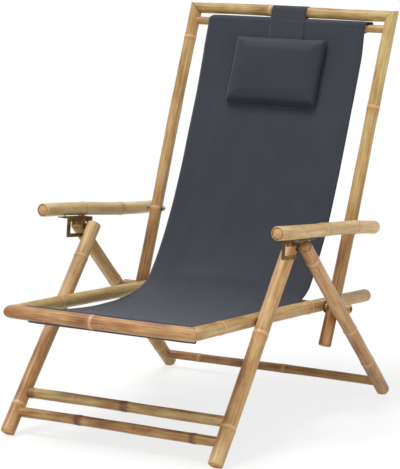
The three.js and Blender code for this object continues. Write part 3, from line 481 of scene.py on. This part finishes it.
def skin_sizes(base, reach, taper, relief, phases, angles):
    """The skin's radius round one station, with long waves and a slightly oval section."""
    wave = 0.22 * math.sin(reach / 61 + phases[0]) + 0.15 * math.sin(reach / 23 + phases[1])
    size = base * (1 + taper) + wave + relief
    oval = 0.012 * np.sin(2 * angles + phases[2] + reach / 170)
    oval = oval + 0.006 * np.sin(3 * angles + phases[3] - reach / 90)
    return size * (1 + oval)


def scar_shape(scars, reach, length, radius, angles):
    """How far branch scars lift the skin round one station, and how dark they make it."""
    rise, mark = np.zeros(POLE_SIDES), np.zeros(POLE_SIDES)
    for share, turn in scars:
        side = (angles - turn + math.pi) % math.tau - math.pi
        apart = np.hypot(side * radius, (reach - share * length) * 0.8)
        rise = rise + (0.9 * bell(apart, 4.2) - 1.3 * bell(apart, 1.7))
        mark = np.maximum(mark, bell(apart, 2.4) * (0.55 + 0.45 * np.cos(apart * 2.6)))
    return rise, mark


def hollow_shade_share(kind, own, radius):
    """How much painted shade darkens a cut face: wholly in a bore, and else only near the skin, down the
    outer wall of a plug's groove.
    """
    if kind == BORE:
        return 1
    return max(0, 1 - abs(own - radius + FILLET) / 1.6) if kind == CUT else 0


def culm(name, ends, radius, body, nodes, styles=("cut", "cut"), bow_up=None, planes=(), skin=BAMBOO):
    """A bamboo pole from start to end, with the look that POLE_LOOKS gives it."""
    look = POLE_LOOKS.get(name, {})
    start, end = ends
    length = (end - start).length
    direction = (end - start).normalized()
    across, third = frame_of(direction)
    lean = bow_up if bow_up is not None else third
    seed = random.Random(name)
    phases = [seed.uniform(0, math.tau) for _ in range(4)]
    arc_bow, s_bow = look.get("bow", (0, 0))
    rings = [share * length for share in look.get("rings", [])]
    stations = pole_stations(length, radius, rings, styles)
    angles = np.arange(POLE_SIDES) * math.tau / POLE_SIDES
    points, place, gaps, marks, hollow_shades, along = [], [], [], [], [], []
    for reach, base, kind in stations:
        gap = min((reach - ring for ring in rings), key=abs, default=FAR_FROM_RING)
        share = reach / length
        rise, mark = scar_shape(look.get("scars", []), reach, length, radius, angles)
        if kind == SKIN:
            taper = look.get("taper", 0.0) * (share - 0.5)
            relief = ring_relief(gap) * min(1, radius / 14)
            sizes = skin_sizes(base, reach, taper, relief, phases, angles) + rise
        else:
            sizes = np.full(POLE_SIDES, float(base))
        bend = arc_bow * math.sin(math.pi * share) + s_bow * math.sin(math.tau * share)
        centre = start + direction * reach + lean * bend
        for angle, own, spot in zip(angles, sizes, mark):
            turned = across * math.cos(angle) + third * math.sin(angle)
            points.append(centre + turned * own)
            place.append((math.cos(angle) * own * MM, math.sin(angle) * own * MM, reach * MM))
            gaps.append(max(-FAR_FROM_RING, min(FAR_FROM_RING, gap)))
            marks.append(spot)
            # Painted shade for the bore and the outer wall of a plug's groove
            hollow_shades.append(hollow_shade_share(kind, own, radius))
            along.append(share)
    indices = []
    for (_, _, kind), (_, _, next_kind) in zip(stations, stations[1:]):
        indices += [0 if kind == next_kind == SKIN else 1] * POLE_SIDES
    faces = [tuple(reversed(face)) for face in grid_faces(len(stations), POLE_SIDES, True)]
    piece = make_object(name, points, faces, [skin, BAMBOO_END], indices)
    put_attribute(piece, "culm", place, "FLOAT_VECTOR")
    put_attribute(piece, "ring", gaps)
    put_attribute(piece, "scar", marks)
    put_attribute(piece, "hollow_shade", hollow_shades)
    for key in ("tint", "hue"):
        value = look.get(key, 0.5)
        pair = value if isinstance(value, tuple) else (value, value)
        put_attribute(piece, key, np.interp(along, [0, 1], pair))
    close_seams(piece)
    if planes:
        cut_flat(piece, planes)
    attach(piece, body)
    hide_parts(*nodes)
    return piece


def level_ends(half, place):
    """The two ends of a pole that lies level across the chair."""
    return point(-half, place), point(half, place)


SIDES = [(-1, "left"), (1, "right")]
DOWN = Vector((0, 0, -1))
CORNER_GAP = 0.15
LEG_PAST_PIN = 9
FRONT_LEG_SWELL = {"left": 0.2, "right": 0.9}
TENON = 6
FRONT_STRETCHERS = [("upper", 105, UPPER_STRETCHER_R), ("lower", 55, LOWER_STRETCHER_R)]
REAR_STRETCHER_PLACE = 40
SEAT_OVERRUN, STILE_OVERRUN, TOP_RAIL_OVERRUN = 30.5, 30, 27
PIVOT_ROD_HALF = 309
ARM_SWELL = 0.5

# Leg frames
for side, word in SIDES:
    reach = FRONT_LEG_LENGTH + LEG_PAST_PIN
    top = point(side * leg_half(reach), step(FRONT_FOOT, FRONT_LEG_ANGLE, reach))
    floor = [(point(0, (FRONT_FOOT[0], 0)), DOWN)]
    ends = (point(side * leg_half(0), FRONT_FOOT), top)
    culm(f"leg_front_{word}", ends, FRONT_LEG_R + FRONT_LEG_SWELL[word], "front_legs",
         [f"front_leg_{word}"], planes=floor)
    top = point(side * REAR_LEG_HALF, step(APEX, REAR_LEG_ANGLE, LEG_PAST_PIN))
    floor = [(point(0, (REAR_FOOT[0], 0)), DOWN)]
    ends = (point(side * REAR_LEG_HALF, REAR_FOOT), top)
    culm(f"leg_rear_{word}", ends, REAR_LEG_R, "rear_legs",
         [f"rear_leg_{word}", f"rear_leg_plug_{word}"], styles=("cut", "plug"), planes=floor)

for word, reach, radius in FRONT_STRETCHERS:
    ends = level_ends(leg_half(reach) - FRONT_LEG_R + TENON, step(FRONT_FOOT, FRONT_LEG_ANGLE, reach))
    name = f"front_stretcher_{word}"
    culm(f"bar_{name}", ends, radius, "front_legs", [name], skin=DARK_BAMBOO)
ends = level_ends(REAR_LEG_HALF - REAR_LEG_R + TENON, step(REAR_FOOT, REAR_LEG_ANGLE, REAR_STRETCHER_PLACE))
culm("bar_rear_stretcher", ends, REAR_STRETCHER_R, "rear_legs", ["rear_stretcher"])

# Seat frame, mitred at its front corners
seat_along = Vector((0, math.cos(SEAT_DROP), -math.sin(SEAT_DROP)))
rail_planes = []
for side, word in SIDES:
    corner = point(side * SEAT_HALF, SEAT_CORNER)
    normal = (seat_along - Vector((-side, 0, 0))).normalized()
    rail_planes.append((corner - normal * CORNER_GAP, normal))
    ends = (corner - seat_along * SEAT_OVERRUN, corner + seat_along * SEAT_RAIL_LENGTH)
    culm(f"rail_seat_{word}", ends, SEAT_RAIL_R, "seat", [f"seat_rail_{word}"],
         planes=[(corner + normal * CORNER_GAP, -normal)])
ends = level_ends(SEAT_HALF + SEAT_OVERRUN, SEAT_CORNER)
culm("rail_seat_front", ends, FRONT_RAIL_R, "seat", ["seat_front_rail"], planes=rail_planes)
ends = level_ends(SEAT_HALF - SEAT_RAIL_R + FRONT_ROD_R, FRONT_ROD)
culm("rod_sling_front", ends, FRONT_ROD_R, "seat", ["sling_rod_front"], skin=DARK_BAMBOO)
ends = level_ends(PIVOT_ROD_HALF, ROD_PIVOT)
culm("rod_pivot", ends, PIVOT_ROD_R, "seat", ["pivot_rod"], styles=("hollow", "hollow"), skin=DARK_BAMBOO)

# Back frame, mitred at its top corners
rail_planes = []
for side, word in SIDES:
    corner = point(side * stile_half(STILE_ABOVE), TOP_CORNER)
    bottom = point(side * stile_half(-STILE_BELOW), STILE_BOTTOM)
    downward = (bottom - corner).normalized()
    normal = (downward - Vector((-side, 0, 0))).normalized()
    rail_planes.append((corner - normal * CORNER_GAP, normal))
    culm(f"stile_back_{word}", (bottom, corner - downward * STILE_OVERRUN), STILE_R, "back",
         [f"back_stile_{word}"], bow_up=Vector((1, 0, 0)), planes=[(corner + normal * CORNER_GAP, -normal)])
ends = level_ends(stile_half(STILE_ABOVE) + TOP_RAIL_OVERRUN, TOP_CORNER)
culm("rail_top", ends, TOP_RAIL_R, "back", ["top_rail"], planes=rail_planes)
ends = level_ends(stile_half(STILE_ABOVE - TOP_ROD_DROP) - STILE_R + TOP_ROD_R, TOP_ROD)
culm("rod_sling_top", ends, TOP_ROD_R, "back", ["sling_rod_top"])

# Armrests
for side, word in SIDES:
    ends = (point(side * ARM_HALF, ARM_FRONT), point(side * ARM_HALF, ARM_REAR))
    culm(f"arm_{word}", ends, ARM_R + ARM_SWELL, f"arm_{word}", [f"armrest_{word}", f"armrest_plug_{word}"],
         styles=("plug", "cut"), bow_up=Vector((0, 0, 1)))


# Sling: one cloth from a sleeve round the top rod, down the back, over the seat and round the front rod

CLOTH = 1.3
SLING_COLUMNS = 64
SEAT_CLOTH_END, SEAT_CLOTH_HALF = 560, 209.5
TAIL_NARROWER = 14
HEM = 17
TOP_SEAM_BELOW, FRONT_SEAM_BEHIND, FRONT_SEAM_RISE = 27, 46, 4
SLEEVE_SLACK, SLEEVE_LAYER, SLEEVE_TAIL = 6.5, 3.4, 9
KNOT_STEPS, PATH_STEP = 14, 5
HANGING_HEM = [(-4, -14), (7, -30), (14, -31.5), (21, -24)]


def polyline_length(places):
    return sum(math.dist(a, b) for a, b in zip(places, places[1:]))


def running_lengths(places):
    """How far along a line each of its places lies."""
    return np.concatenate([[0], np.cumsum([math.dist(a, b) for a, b in zip(places, places[1:])])])


def even_steps(places, gap):
    """The same line with its points an even distance apart."""
    sums = running_lengths(places)
    count = max(2, round(sums[-1] / gap) + 1)
    wanted = np.linspace(0, sums[-1], count)
    along_y, along_z = (np.interp(wanted, sums, [p[axis] for p in places]) for axis in (0, 1))
    return list(zip(along_y.tolist(), along_z.tolist()))


def flowing(places, count):
    """A smooth line through places, with count points from each to the next."""
    line = []
    ends = [places[0]] + places + [places[-1]]
    for before, start, end, after in zip(ends, ends[1:], ends[2:], ends[3:]):
        for t in np.arange(count) / count:
            weights = (
                2 * t * t - t - t ** 3,
                2 - 5 * t * t + 3 * t ** 3,
                t + 4 * t * t - 3 * t ** 3,
                t ** 3 - t * t,
            )
            knots = list(zip(weights, (before, start, end, after)))
            line.append(tuple(sum(w * p[i] for w, p in knots) / 2 for i in (0, 1)))
    return line + [places[-1]]


def lerp(a, b, share):
    return (a[0] + (b[0] - a[0]) * share, a[1] + (b[1] - a[1]) * share)


def arc(centre, radius, start, end, count):
    return [step(centre, start + (end - start) * i / (count - 1), radius) for i in range(count)]


BACK_ANGLE, SEAT_ANGLE = math.radians(70.6), math.radians(11)
TOP_LIFT, FRONT_LIFT = 15.35, FRONT_ROD_R + 1.85
sling_top = step(TOP_ROD, BACK_ANGLE + math.pi / 2, TOP_LIFT)
sling_front = step(FRONT_ROD, math.pi / 2 - SEAT_ANGLE, FRONT_LIFT)
back_knots = [(852, 810), (819, 731), (782, 651), (733, 535), (676, 418), (629, 344), (583, 292)]
seat_knots = [(535, 268.5), (454, 255), (352, 255), (271, 261), (180, 273.5), (100, 289.5)]
main = flowing([sling_top] + back_knots + seat_knots + [sling_front], KNOT_STEPS)
# The sleeve at the top passes over the rod and is sewn to the back of the cloth below it
over_top = arc(TOP_ROD, TOP_ROD_R + SLEEVE_SLACK, BACK_ANGLE - math.pi * 0.45, BACK_ANGLE + math.pi * 0.4, 16)
seam_top = step(TOP_ROD, BACK_ANGLE, -TOP_SEAM_BELOW)
seam_top = step(seam_top, BACK_ANGLE + math.pi / 2, TOP_LIFT - SLEEVE_LAYER)
start_top = step(seam_top, BACK_ANGLE, -SLEEVE_TAIL)
behind_rod = step(step(TOP_ROD, BACK_ANGLE, -13), BACK_ANGLE + math.pi / 2, -6)
sleeve_top = [start_top, seam_top, behind_rod] + over_top
# The sleeve at the front hangs a little below the rod and is sewn under the cloth behind it
under = arc(FRONT_ROD, FRONT_LIFT, math.pi / 2 - SEAT_ANGLE, math.pi * 1.02, 12)[1:]
hem = [(FRONT_ROD[0] + behind, FRONT_ROD[1] + above) for behind, above in HANGING_HEM]
seam_drop = FRONT_SEAM_BEHIND * math.tan(SEAT_ANGLE)
seam_front = (FRONT_ROD[0] + FRONT_SEAM_BEHIND, FRONT_ROD[1] + FRONT_SEAM_RISE - seam_drop)
sleeve_front = under + hem + [seam_front]
sling_path = even_steps(sleeve_top + main + sleeve_front, PATH_STEP)
SLEEVE_LENGTH, MAIN_LENGTH = polyline_length(sleeve_top), polyline_length(main)
# The cloth sags at the crease between back and seat, this far from its front end
CREASE_FROM_FRONT = 560
SAG_AT = MAIN_LENGTH - CREASE_FROM_FRONT
SAG_DEPTH, SAG_REACH, SAG_ROUNDING = 20, 75, 9
RIGHT_EDGE_RISE = 7


def cloth_half(place, run):
    """Half the cloth's width: it fits between the seat rails, is wider above, and has a narrower tail."""
    if place[0] < SEAT_CLOTH_END:
        return SEAT_CLOTH_HALF
    tail = np.interp(run, [SLEEVE_LENGTH * 0.3, SLEEVE_LENGTH * 0.45], [TAIL_NARROWER, 0])
    heights = [280, 300, 410, 520, 700, 830, 889]
    halves = [SEAT_CLOTH_HALF, 213, 214.5, 214.5, 214.5, 217, 215]
    return float(np.interp(place[1], heights, halves) - tail)


def side_normals(path):
    """Unit normals of a line in the side plane, on its left."""
    normals = []
    for i in range(len(path)):
        a, b = path[max(0, i - 1)], path[min(len(path) - 1, i + 1)]
        length = math.dist(a, b)
        normals.append((-(b[1] - a[1]) / length, (b[0] - a[0]) / length))
    return normals


def thicken(piece, thickness):
    solid = piece.modifiers.new("thickness", "SOLIDIFY")
    solid.thickness = thickness * MM
    solid.offset = 0


def cloth_sheet(name, path, half_at, columns, relief, shift_at, thickness):
    """A sheet of cloth along a line in the side plane.

    For each place on it, relief gives how far it stands off that line and how dark its seam is.
    """
    points, weave, seams = [], [], []
    run = 0
    for i, (place, normal) in enumerate(zip(path, side_normals(path))):
        if i:
            run += math.dist(place, path[i - 1])
        half = half_at(place, run)
        shift = shift_at(run)
        for u in np.linspace(-1, 1, columns):
            stand, seam = relief(u * half, half, run)
            lifted = (place[0] + normal[0] * stand, place[1] + normal[1] * stand)
            points.append(point(shift + u * half, lifted))
            weave.append((u * half * MM, run * MM, 0))
            seams.append(seam)
    piece = make_object(name, points, grid_faces(len(path), columns, False), [SLING_CLOTH])
    put_attribute(piece, "weave", weave, "FLOAT_VECTOR")
    put_attribute(piece, "seam", seams)
    thicken(piece, thickness)
    return piece


def sling_relief(x, half, run):
    """Folded side hems with a stitched line, the sag at the crease, and soft ripples."""
    inside = half - abs(x)
    stand = 0.55 if inside < HEM else 0.55 * max(0, 1 - (inside - HEM) / 2.5)
    groove = bell(inside - HEM + 2.5, 1.0)
    stand -= 0.5 * groove
    seam = 0.6 * groove
    down = run - SLEEVE_LENGTH
    across = noise.noise(Vector((x / 46, down / 260, 3.1)))
    fine = noise.noise(Vector((x / 21, down / 70, 8.7)))
    middle = max(0.0, min(1.0, down / 120)) * max(0.0, min(1.0, (MAIN_LENGTH - down) / 60))
    share = abs(x) / half
    sag = SAG_DEPTH * (1 - share ** 2) ** 1.2 - (RIGHT_EDGE_RISE * share ** 2 if x > 0 else 0)
    stand -= sag * math.exp(-math.hypot(down - SAG_AT, SAG_ROUNDING) / SAG_REACH)
    top_folds = bell(down - 70, 60) * noise.noise(Vector((x / 17, down / 160, 1.4)))
    stand += middle * (1.6 * across + 0.5 * fine) + (0.9 * top_folds if 0 < down < 320 else 0)
    for sewn in (TOP_SEAM_BELOW, MAIN_LENGTH - FRONT_SEAM_BEHIND):
        line = bell(down - sewn, 1.2)
        stand -= 0.7 * line
        seam = max(seam, 0.8 * line)
    return stand, seam


def sling_shift(run):
    """The sleeve stands out a little to the right over the rod, and the cloth below it sits to the left."""
    top = SLEEVE_LENGTH
    runs = [0, top * 0.3, top * 0.75, top, top + 90, top + 260, top + 480, top + 600]
    shifts = [-4, -4, 8, -4, -0.5, 2.5, 2, 0]
    return float(np.interp(run, runs, shifts))


sling = cloth_sheet("sling", sling_path, cloth_half, SLING_COLUMNS, sling_relief, sling_shift, CLOTH)
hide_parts("sling_back", "sling_seat")
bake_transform(sling)


# Head pillow and its strap

PILLOW_W, PILLOW_H, PILLOW_SHIFT = 249, 175, -1
PILLOW_DROP, PILLOW_STANDS_OUT = 110, 10.1
PILLOW_COLUMNS, PILLOW_ROWS = 50, 34
EDGE_INSET, EDGE_DRAW, EDGE_ROLL = 2, 1.5, 36
FRONT_SWELL, FRONT_CROWN, BACK_SWELL, SEAM_LIFT = 13, 2, 4.5, 1.2
SEWN_MARGIN, SEAM_MARGIN = 4.5, 8
AIR_PRESSURE, AIR_FRAMES, AIR_TRAVEL = 1.2, 12, 2.5
pillow_index = int(np.searchsorted(running_lengths(main), PILLOW_DROP + TOP_LIFT))
pillow_base = main[pillow_index]
pillow_up = angle_to(main[pillow_index + 1], main[pillow_index - 1])
pillow_out = pillow_up + math.pi / 2
pillow_place = step(pillow_base, pillow_out, PILLOW_STANDS_OUT)


def pillow_shape():
    """The pad before it is blown up: a flat box whose sides draw in between its corners."""
    columns, rows = PILLOW_COLUMNS, PILLOW_ROWS
    points = []
    for face in (1, -1):
        for v in np.linspace(-1, 1, rows):
            for u in np.linspace(-1, 1, columns):
                x = u * (PILLOW_W / 2 - EDGE_INSET) - u * EDGE_DRAW * (1 - v * v)
                y = v * (PILLOW_H / 2 - EDGE_INSET) - v * EDGE_DRAW * (1 - u * u)
                gaps = ((1 - abs(u)) * PILLOW_W, (1 - abs(v)) * PILLOW_H)
                falls = [(1 - min(1, gap / EDGE_ROLL)) ** 2.4 for gap in gaps]
                swell = math.sqrt((1 - falls[0]) * (1 - falls[1]))
                crown = (1 - u * u) * (1 - v * v)
                depth = FRONT_SWELL + FRONT_CROWN * crown if face > 0 else BACK_SWELL
                points.append((x, y, face * (SEAM_LIFT + depth * swell)))
    grid = grid_faces(rows, columns, False)
    size = rows * columns
    faces = grid + [tuple(i + size for i in reversed(face)) for face in grid]
    edge_line = list(range(columns)) + [row * columns + columns - 1 for row in range(1, rows)]
    edge_line += [size - 1 - i for i in range(1, columns)] + [row * columns for row in range(rows - 2, 0, -1)]
    for a, b in zip(edge_line, edge_line[1:] + edge_line[:1]):
        faces.append((b, a, a + size, b + size))
    return points, faces


def blow_up(piece, pressure, frames, cap):
    """Swells a closed cloth by air pressure, with each point's travel capped in millimetres."""
    rest = np.array([v.co for v in piece.data.vertices])
    cloth = piece.modifiers.new("cloth", "CLOTH")
    cloth.settings.effector_weights.gravity = 0
    cloth.settings.use_pressure = True
    cloth.settings.uniform_pressure_force = pressure
    cloth.settings.tension_stiffness = 25
    cloth.settings.bending_stiffness = 1.2
    cloth.settings.vertex_group_mass = "sewn"
    cloth.point_cache.frame_start, cloth.point_cache.frame_end = 1, frames
    scene = bpy.context.scene
    for number in range(1, frames + 1):
        scene.frame_set(number)
    evaluated = piece.evaluated_get(bpy.context.evaluated_depsgraph_get())
    moved = np.array([v.co for v in evaluated.to_mesh().vertices])
    evaluated.to_mesh_clear()
    piece.modifiers.clear()
    scene.frame_set(1)
    travel = moved - rest
    length = np.linalg.norm(travel, axis=1, keepdims=True)
    travel *= np.minimum(1, cap * MM / np.maximum(length, 1e-9))
    piece.data.vertices.foreach_set("co", (rest + travel).ravel())
    piece.data.update()


points, faces = pillow_shape()
pillow = make_object("pillow", points, faces, [PILLOW_CLOTH])
edge_gap = np.array([min(PILLOW_W / 2 - abs(p[0]), PILLOW_H / 2 - abs(p[1])) for p in points])
sewn_points = np.flatnonzero(edge_gap < SEWN_MARGIN).tolist()
pillow.vertex_groups.new(name="sewn").add(sewn_points, 1.0, "REPLACE")
blow_up(pillow, AIR_PRESSURE, AIR_FRAMES, AIR_TRAVEL)
co = np.array([v.co for v in pillow.data.vertices]) / MM
put_attribute(pillow, "weave", co * MM, "FLOAT_VECTOR")
put_attribute(pillow, "seam", 0.5 * bell(co[:, 2], 1.5) * (edge_gap < SEAM_MARGIN))
pillow_matrix = Matrix((
    (1, 0, 0, PILLOW_SHIFT * MM),
    (0, math.cos(pillow_up), math.cos(pillow_out), (pillow_place[0] + SHIFT) * MM),
    (0, math.sin(pillow_up), math.sin(pillow_out), pillow_place[1] * MM),
    (0, 0, 0, 1),
))
pillow.data.transform(pillow_matrix)
smooth = pillow.modifiers.new("smooth", "SUBSURF")
smooth.levels = smooth.render_levels = 1
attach(pillow, "back")
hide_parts("headrest_pillow")

STRAP_HALF, STRAP_TOP_SHIFT, STRAP_LOW_SHIFT = 47.5, -1, 7
STRAP_COLUMNS, STRAP_THICKNESS, STRAP_HEM, STRAP_STEP = 30, 1.6, 4, 4
strap_lift = TOP_RAIL_R + 1.1
pillow_top = step(step(pillow_place, pillow_up, PILLOW_H / 2 - 14), pillow_out, -5)
loop = arc(TOP_CORNER, strap_lift, BACK_ANGLE - math.pi * 0.62, BACK_ANGLE + math.pi * 0.5, 26)
behind = step(step(TOP_CORNER, BACK_ANGLE, -22), BACK_ANGLE + math.pi / 2, strap_lift - 3.6)
behind_low = step(behind, BACK_ANGLE, -12)
tail = [lerp(loop[-1], pillow_top, share) for share in (0.15, 0.4, 0.7, 1)]
strap_path = even_steps([behind_low, behind] + loop + tail, STRAP_STEP)
STRAP_LENGTH = polyline_length(strap_path)


def strap_relief(x, half, run):
    """A stitched line near each side, and a slight wave below the top rail."""
    inside = half - abs(x)
    groove = bell(inside - STRAP_HEM, 0.9)
    wave = noise.noise(Vector((x / 30, run / 45, 5.5)))
    return 0.7 * wave * min(1, run / 60) - 0.4 * groove, 0.5 * groove


def strap_half(place, run):
    return STRAP_HALF


def strap_shift(run):
    return float(np.interp(run, [STRAP_LENGTH - 80, STRAP_LENGTH], [STRAP_TOP_SHIFT, STRAP_LOW_SHIFT]))


strap = cloth_sheet("pillow_strap", strap_path, strap_half, STRAP_COLUMNS, strap_relief, strap_shift,
                    STRAP_THICKNESS)
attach(strap, "back")
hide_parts("headrest_strap")


# Metal pieces and dowels keep their CAD shapes, with rounded edges

EDGE_WELD, SHARP_EDGE = 0.00002, math.radians(35)


def round_edges(piece, width):
    weld = piece.modifiers.new("weld", "WELD")
    weld.merge_threshold = EDGE_WELD
    bevel = piece.modifiers.new("edges", "BEVEL")
    bevel.width = width * MM
    bevel.segments = 2
    bevel.limit_method = "ANGLE"
    bevel.angle_limit = SHARP_EDGE


# For each slot, the material and the width of the edges
FINISHES = {
    "bronze": (BRONZE, 0.5),
    "steel": (STEEL, 0.3),
    "black_steel": (BLACK_STEEL, 0.3),
    "bamboo_end": (BAMBOO_END, 0.3),
}
for entry in frame["record"]["subparts"]:
    node = frame["nodes"][entry["node"]]
    if not node.hide_render and entry["material_slot"] in FINISHES:
        material, edge = FINISHES[entry["material_slot"]]
        node.data.materials.clear()
        node.data.materials.append(material)
        round_edges(node, edge)


# Camera, floor and light

PHOTO_HEIGHT = 469
FOCAL_PIXELS = 2107
SENSOR = 36
CAMERA_TURN = (28.341, 9.608, 0.732)
CAMERA_PLACE = (2299.2, -3819.8, 1241.6)
FLOOR_HALF = 40000
FLOOR_GLOW, FLOOR_GLOW_SHARE = 1.05, 0.74
SKY_LIGHT, SKY_SEEN = 0.4, 1.0
camera = bpy.data.cameras.new("camera")
camera.sensor_width = SENSOR
camera.lens = FOCAL_PIXELS / PHOTO_HEIGHT * SENSOR
camera.shift_x, camera.shift_y = 0.3 / PHOTO_HEIGHT, 1.98 / PHOTO_HEIGHT
camera.clip_start, camera.clip_end = 0.1, 200
eye = bpy.data.objects.new("camera", camera)
bpy.context.scene.collection.objects.link(eye)
bpy.context.scene.camera = eye
azimuth, elevation, roll = (math.radians(v) for v in CAMERA_TURN)
forward = Vector((
    -math.sin(azimuth) * math.cos(elevation),
    math.cos(azimuth) * math.cos(elevation),
    -math.sin(elevation),
))
right = Vector((math.cos(azimuth), math.sin(azimuth), 0))
up = right.cross(forward)
right, up = right * math.cos(roll) + up * math.sin(roll), up * math.cos(roll) - right * math.sin(roll)
spot = Vector((CAMERA_PLACE[0], CAMERA_PLACE[1] + SHIFT, CAMERA_PLACE[2])) * MM
eye.matrix_world = Matrix((
    (right.x, up.x, -forward.x, spot.x),
    (right.y, up.y, -forward.y, spot.y),
    (right.z, up.z, -forward.z, spot.z),
    (0, 0, 0, 1),
))

floor_graph = Graph("floor", Roughness=0.9, Specular_IOR_Level=0.1, Base_Color=srgb(240, 240, 239))
rays = floor_graph.add("LightPath").node.outputs
seen = floor_graph.math("ADD", rays["Is Camera Ray"], rays["Is Glossy Ray"])
seen = floor_graph.math("ADD", seen, rays["Is Transmission Ray"], clamp=True)
white = floor_graph.add("Emission", {"Strength": FLOOR_GLOW})
share = floor_graph.math("MULTIPLY", seen, FLOOR_GLOW_SHARE)
blend = floor_graph.add("MixShader", {0: share, 1: floor_graph.shader.outputs[0], 2: white})
floor_graph.tree.links.new(blend, floor_graph.tree.nodes["Material Output"].inputs["Surface"])
corners = [(x * FLOOR_HALF, y * FLOOR_HALF, 0) for x, y in ((-1, -1), (1, -1), (1, 1), (-1, 1))]
floor = make_object("floor", corners, [(0, 1, 2, 3)], [floor_graph.material])


def add_light(name, kind, energy, place, towards):
    """A light at a place in metres that shines along a direction."""
    light = bpy.data.lights.new(name, kind)
    light.energy = energy
    lamp = bpy.data.objects.new(name, light)
    bpy.context.scene.collection.objects.link(lamp)
    lamp.location = place
    lamp.rotation_mode = "QUATERNION"
    lamp.rotation_quaternion = towards.to_track_quat("-Z", "Y")
    return light


sun = add_light("key", "SUN", 2.1, (0, 0, 0), Vector((0.24, 0.2, -1.0)))
sun.angle = math.radians(24)
fill_place = Vector((3.0, -2.4, 1.6))
fill = add_light("fill", "AREA", 30, fill_place, Vector((0, 0, 0.4)) - fill_place)
fill.size = 2.5

# The sky is plain white where it is seen, and gives less light than that
world = bpy.data.worlds.new("studio")
world.use_nodes = True
nodes, links = world.node_tree.nodes, world.node_tree.links
sky = nodes["Background"].inputs
sky["Color"].default_value = (1, 1, 1, 1)
sky["Strength"].default_value = SKY_LIGHT
rays = nodes.new("ShaderNodeLightPath").outputs
seen = rays["Is Camera Ray"]
for name in ("Is Glossy Ray", "Is Transmission Ray"):
    either = nodes.new("ShaderNodeMath")
    either.operation = "MAXIMUM"
    links.new(seen, either.inputs[0])
    links.new(rays[name], either.inputs[1])
    seen = either.outputs[0]
strength = nodes.new("ShaderNodeMapRange")
strength.inputs["To Min"].default_value = SKY_LIGHT
strength.inputs["To Max"].default_value = SKY_SEEN
links.new(seen, strength.inputs["Value"])
links.new(strength.outputs["Result"], sky["Strength"])
bpy.context.scene.world = world
bpy.context.scene.view_settings.view_transform = "Standard"
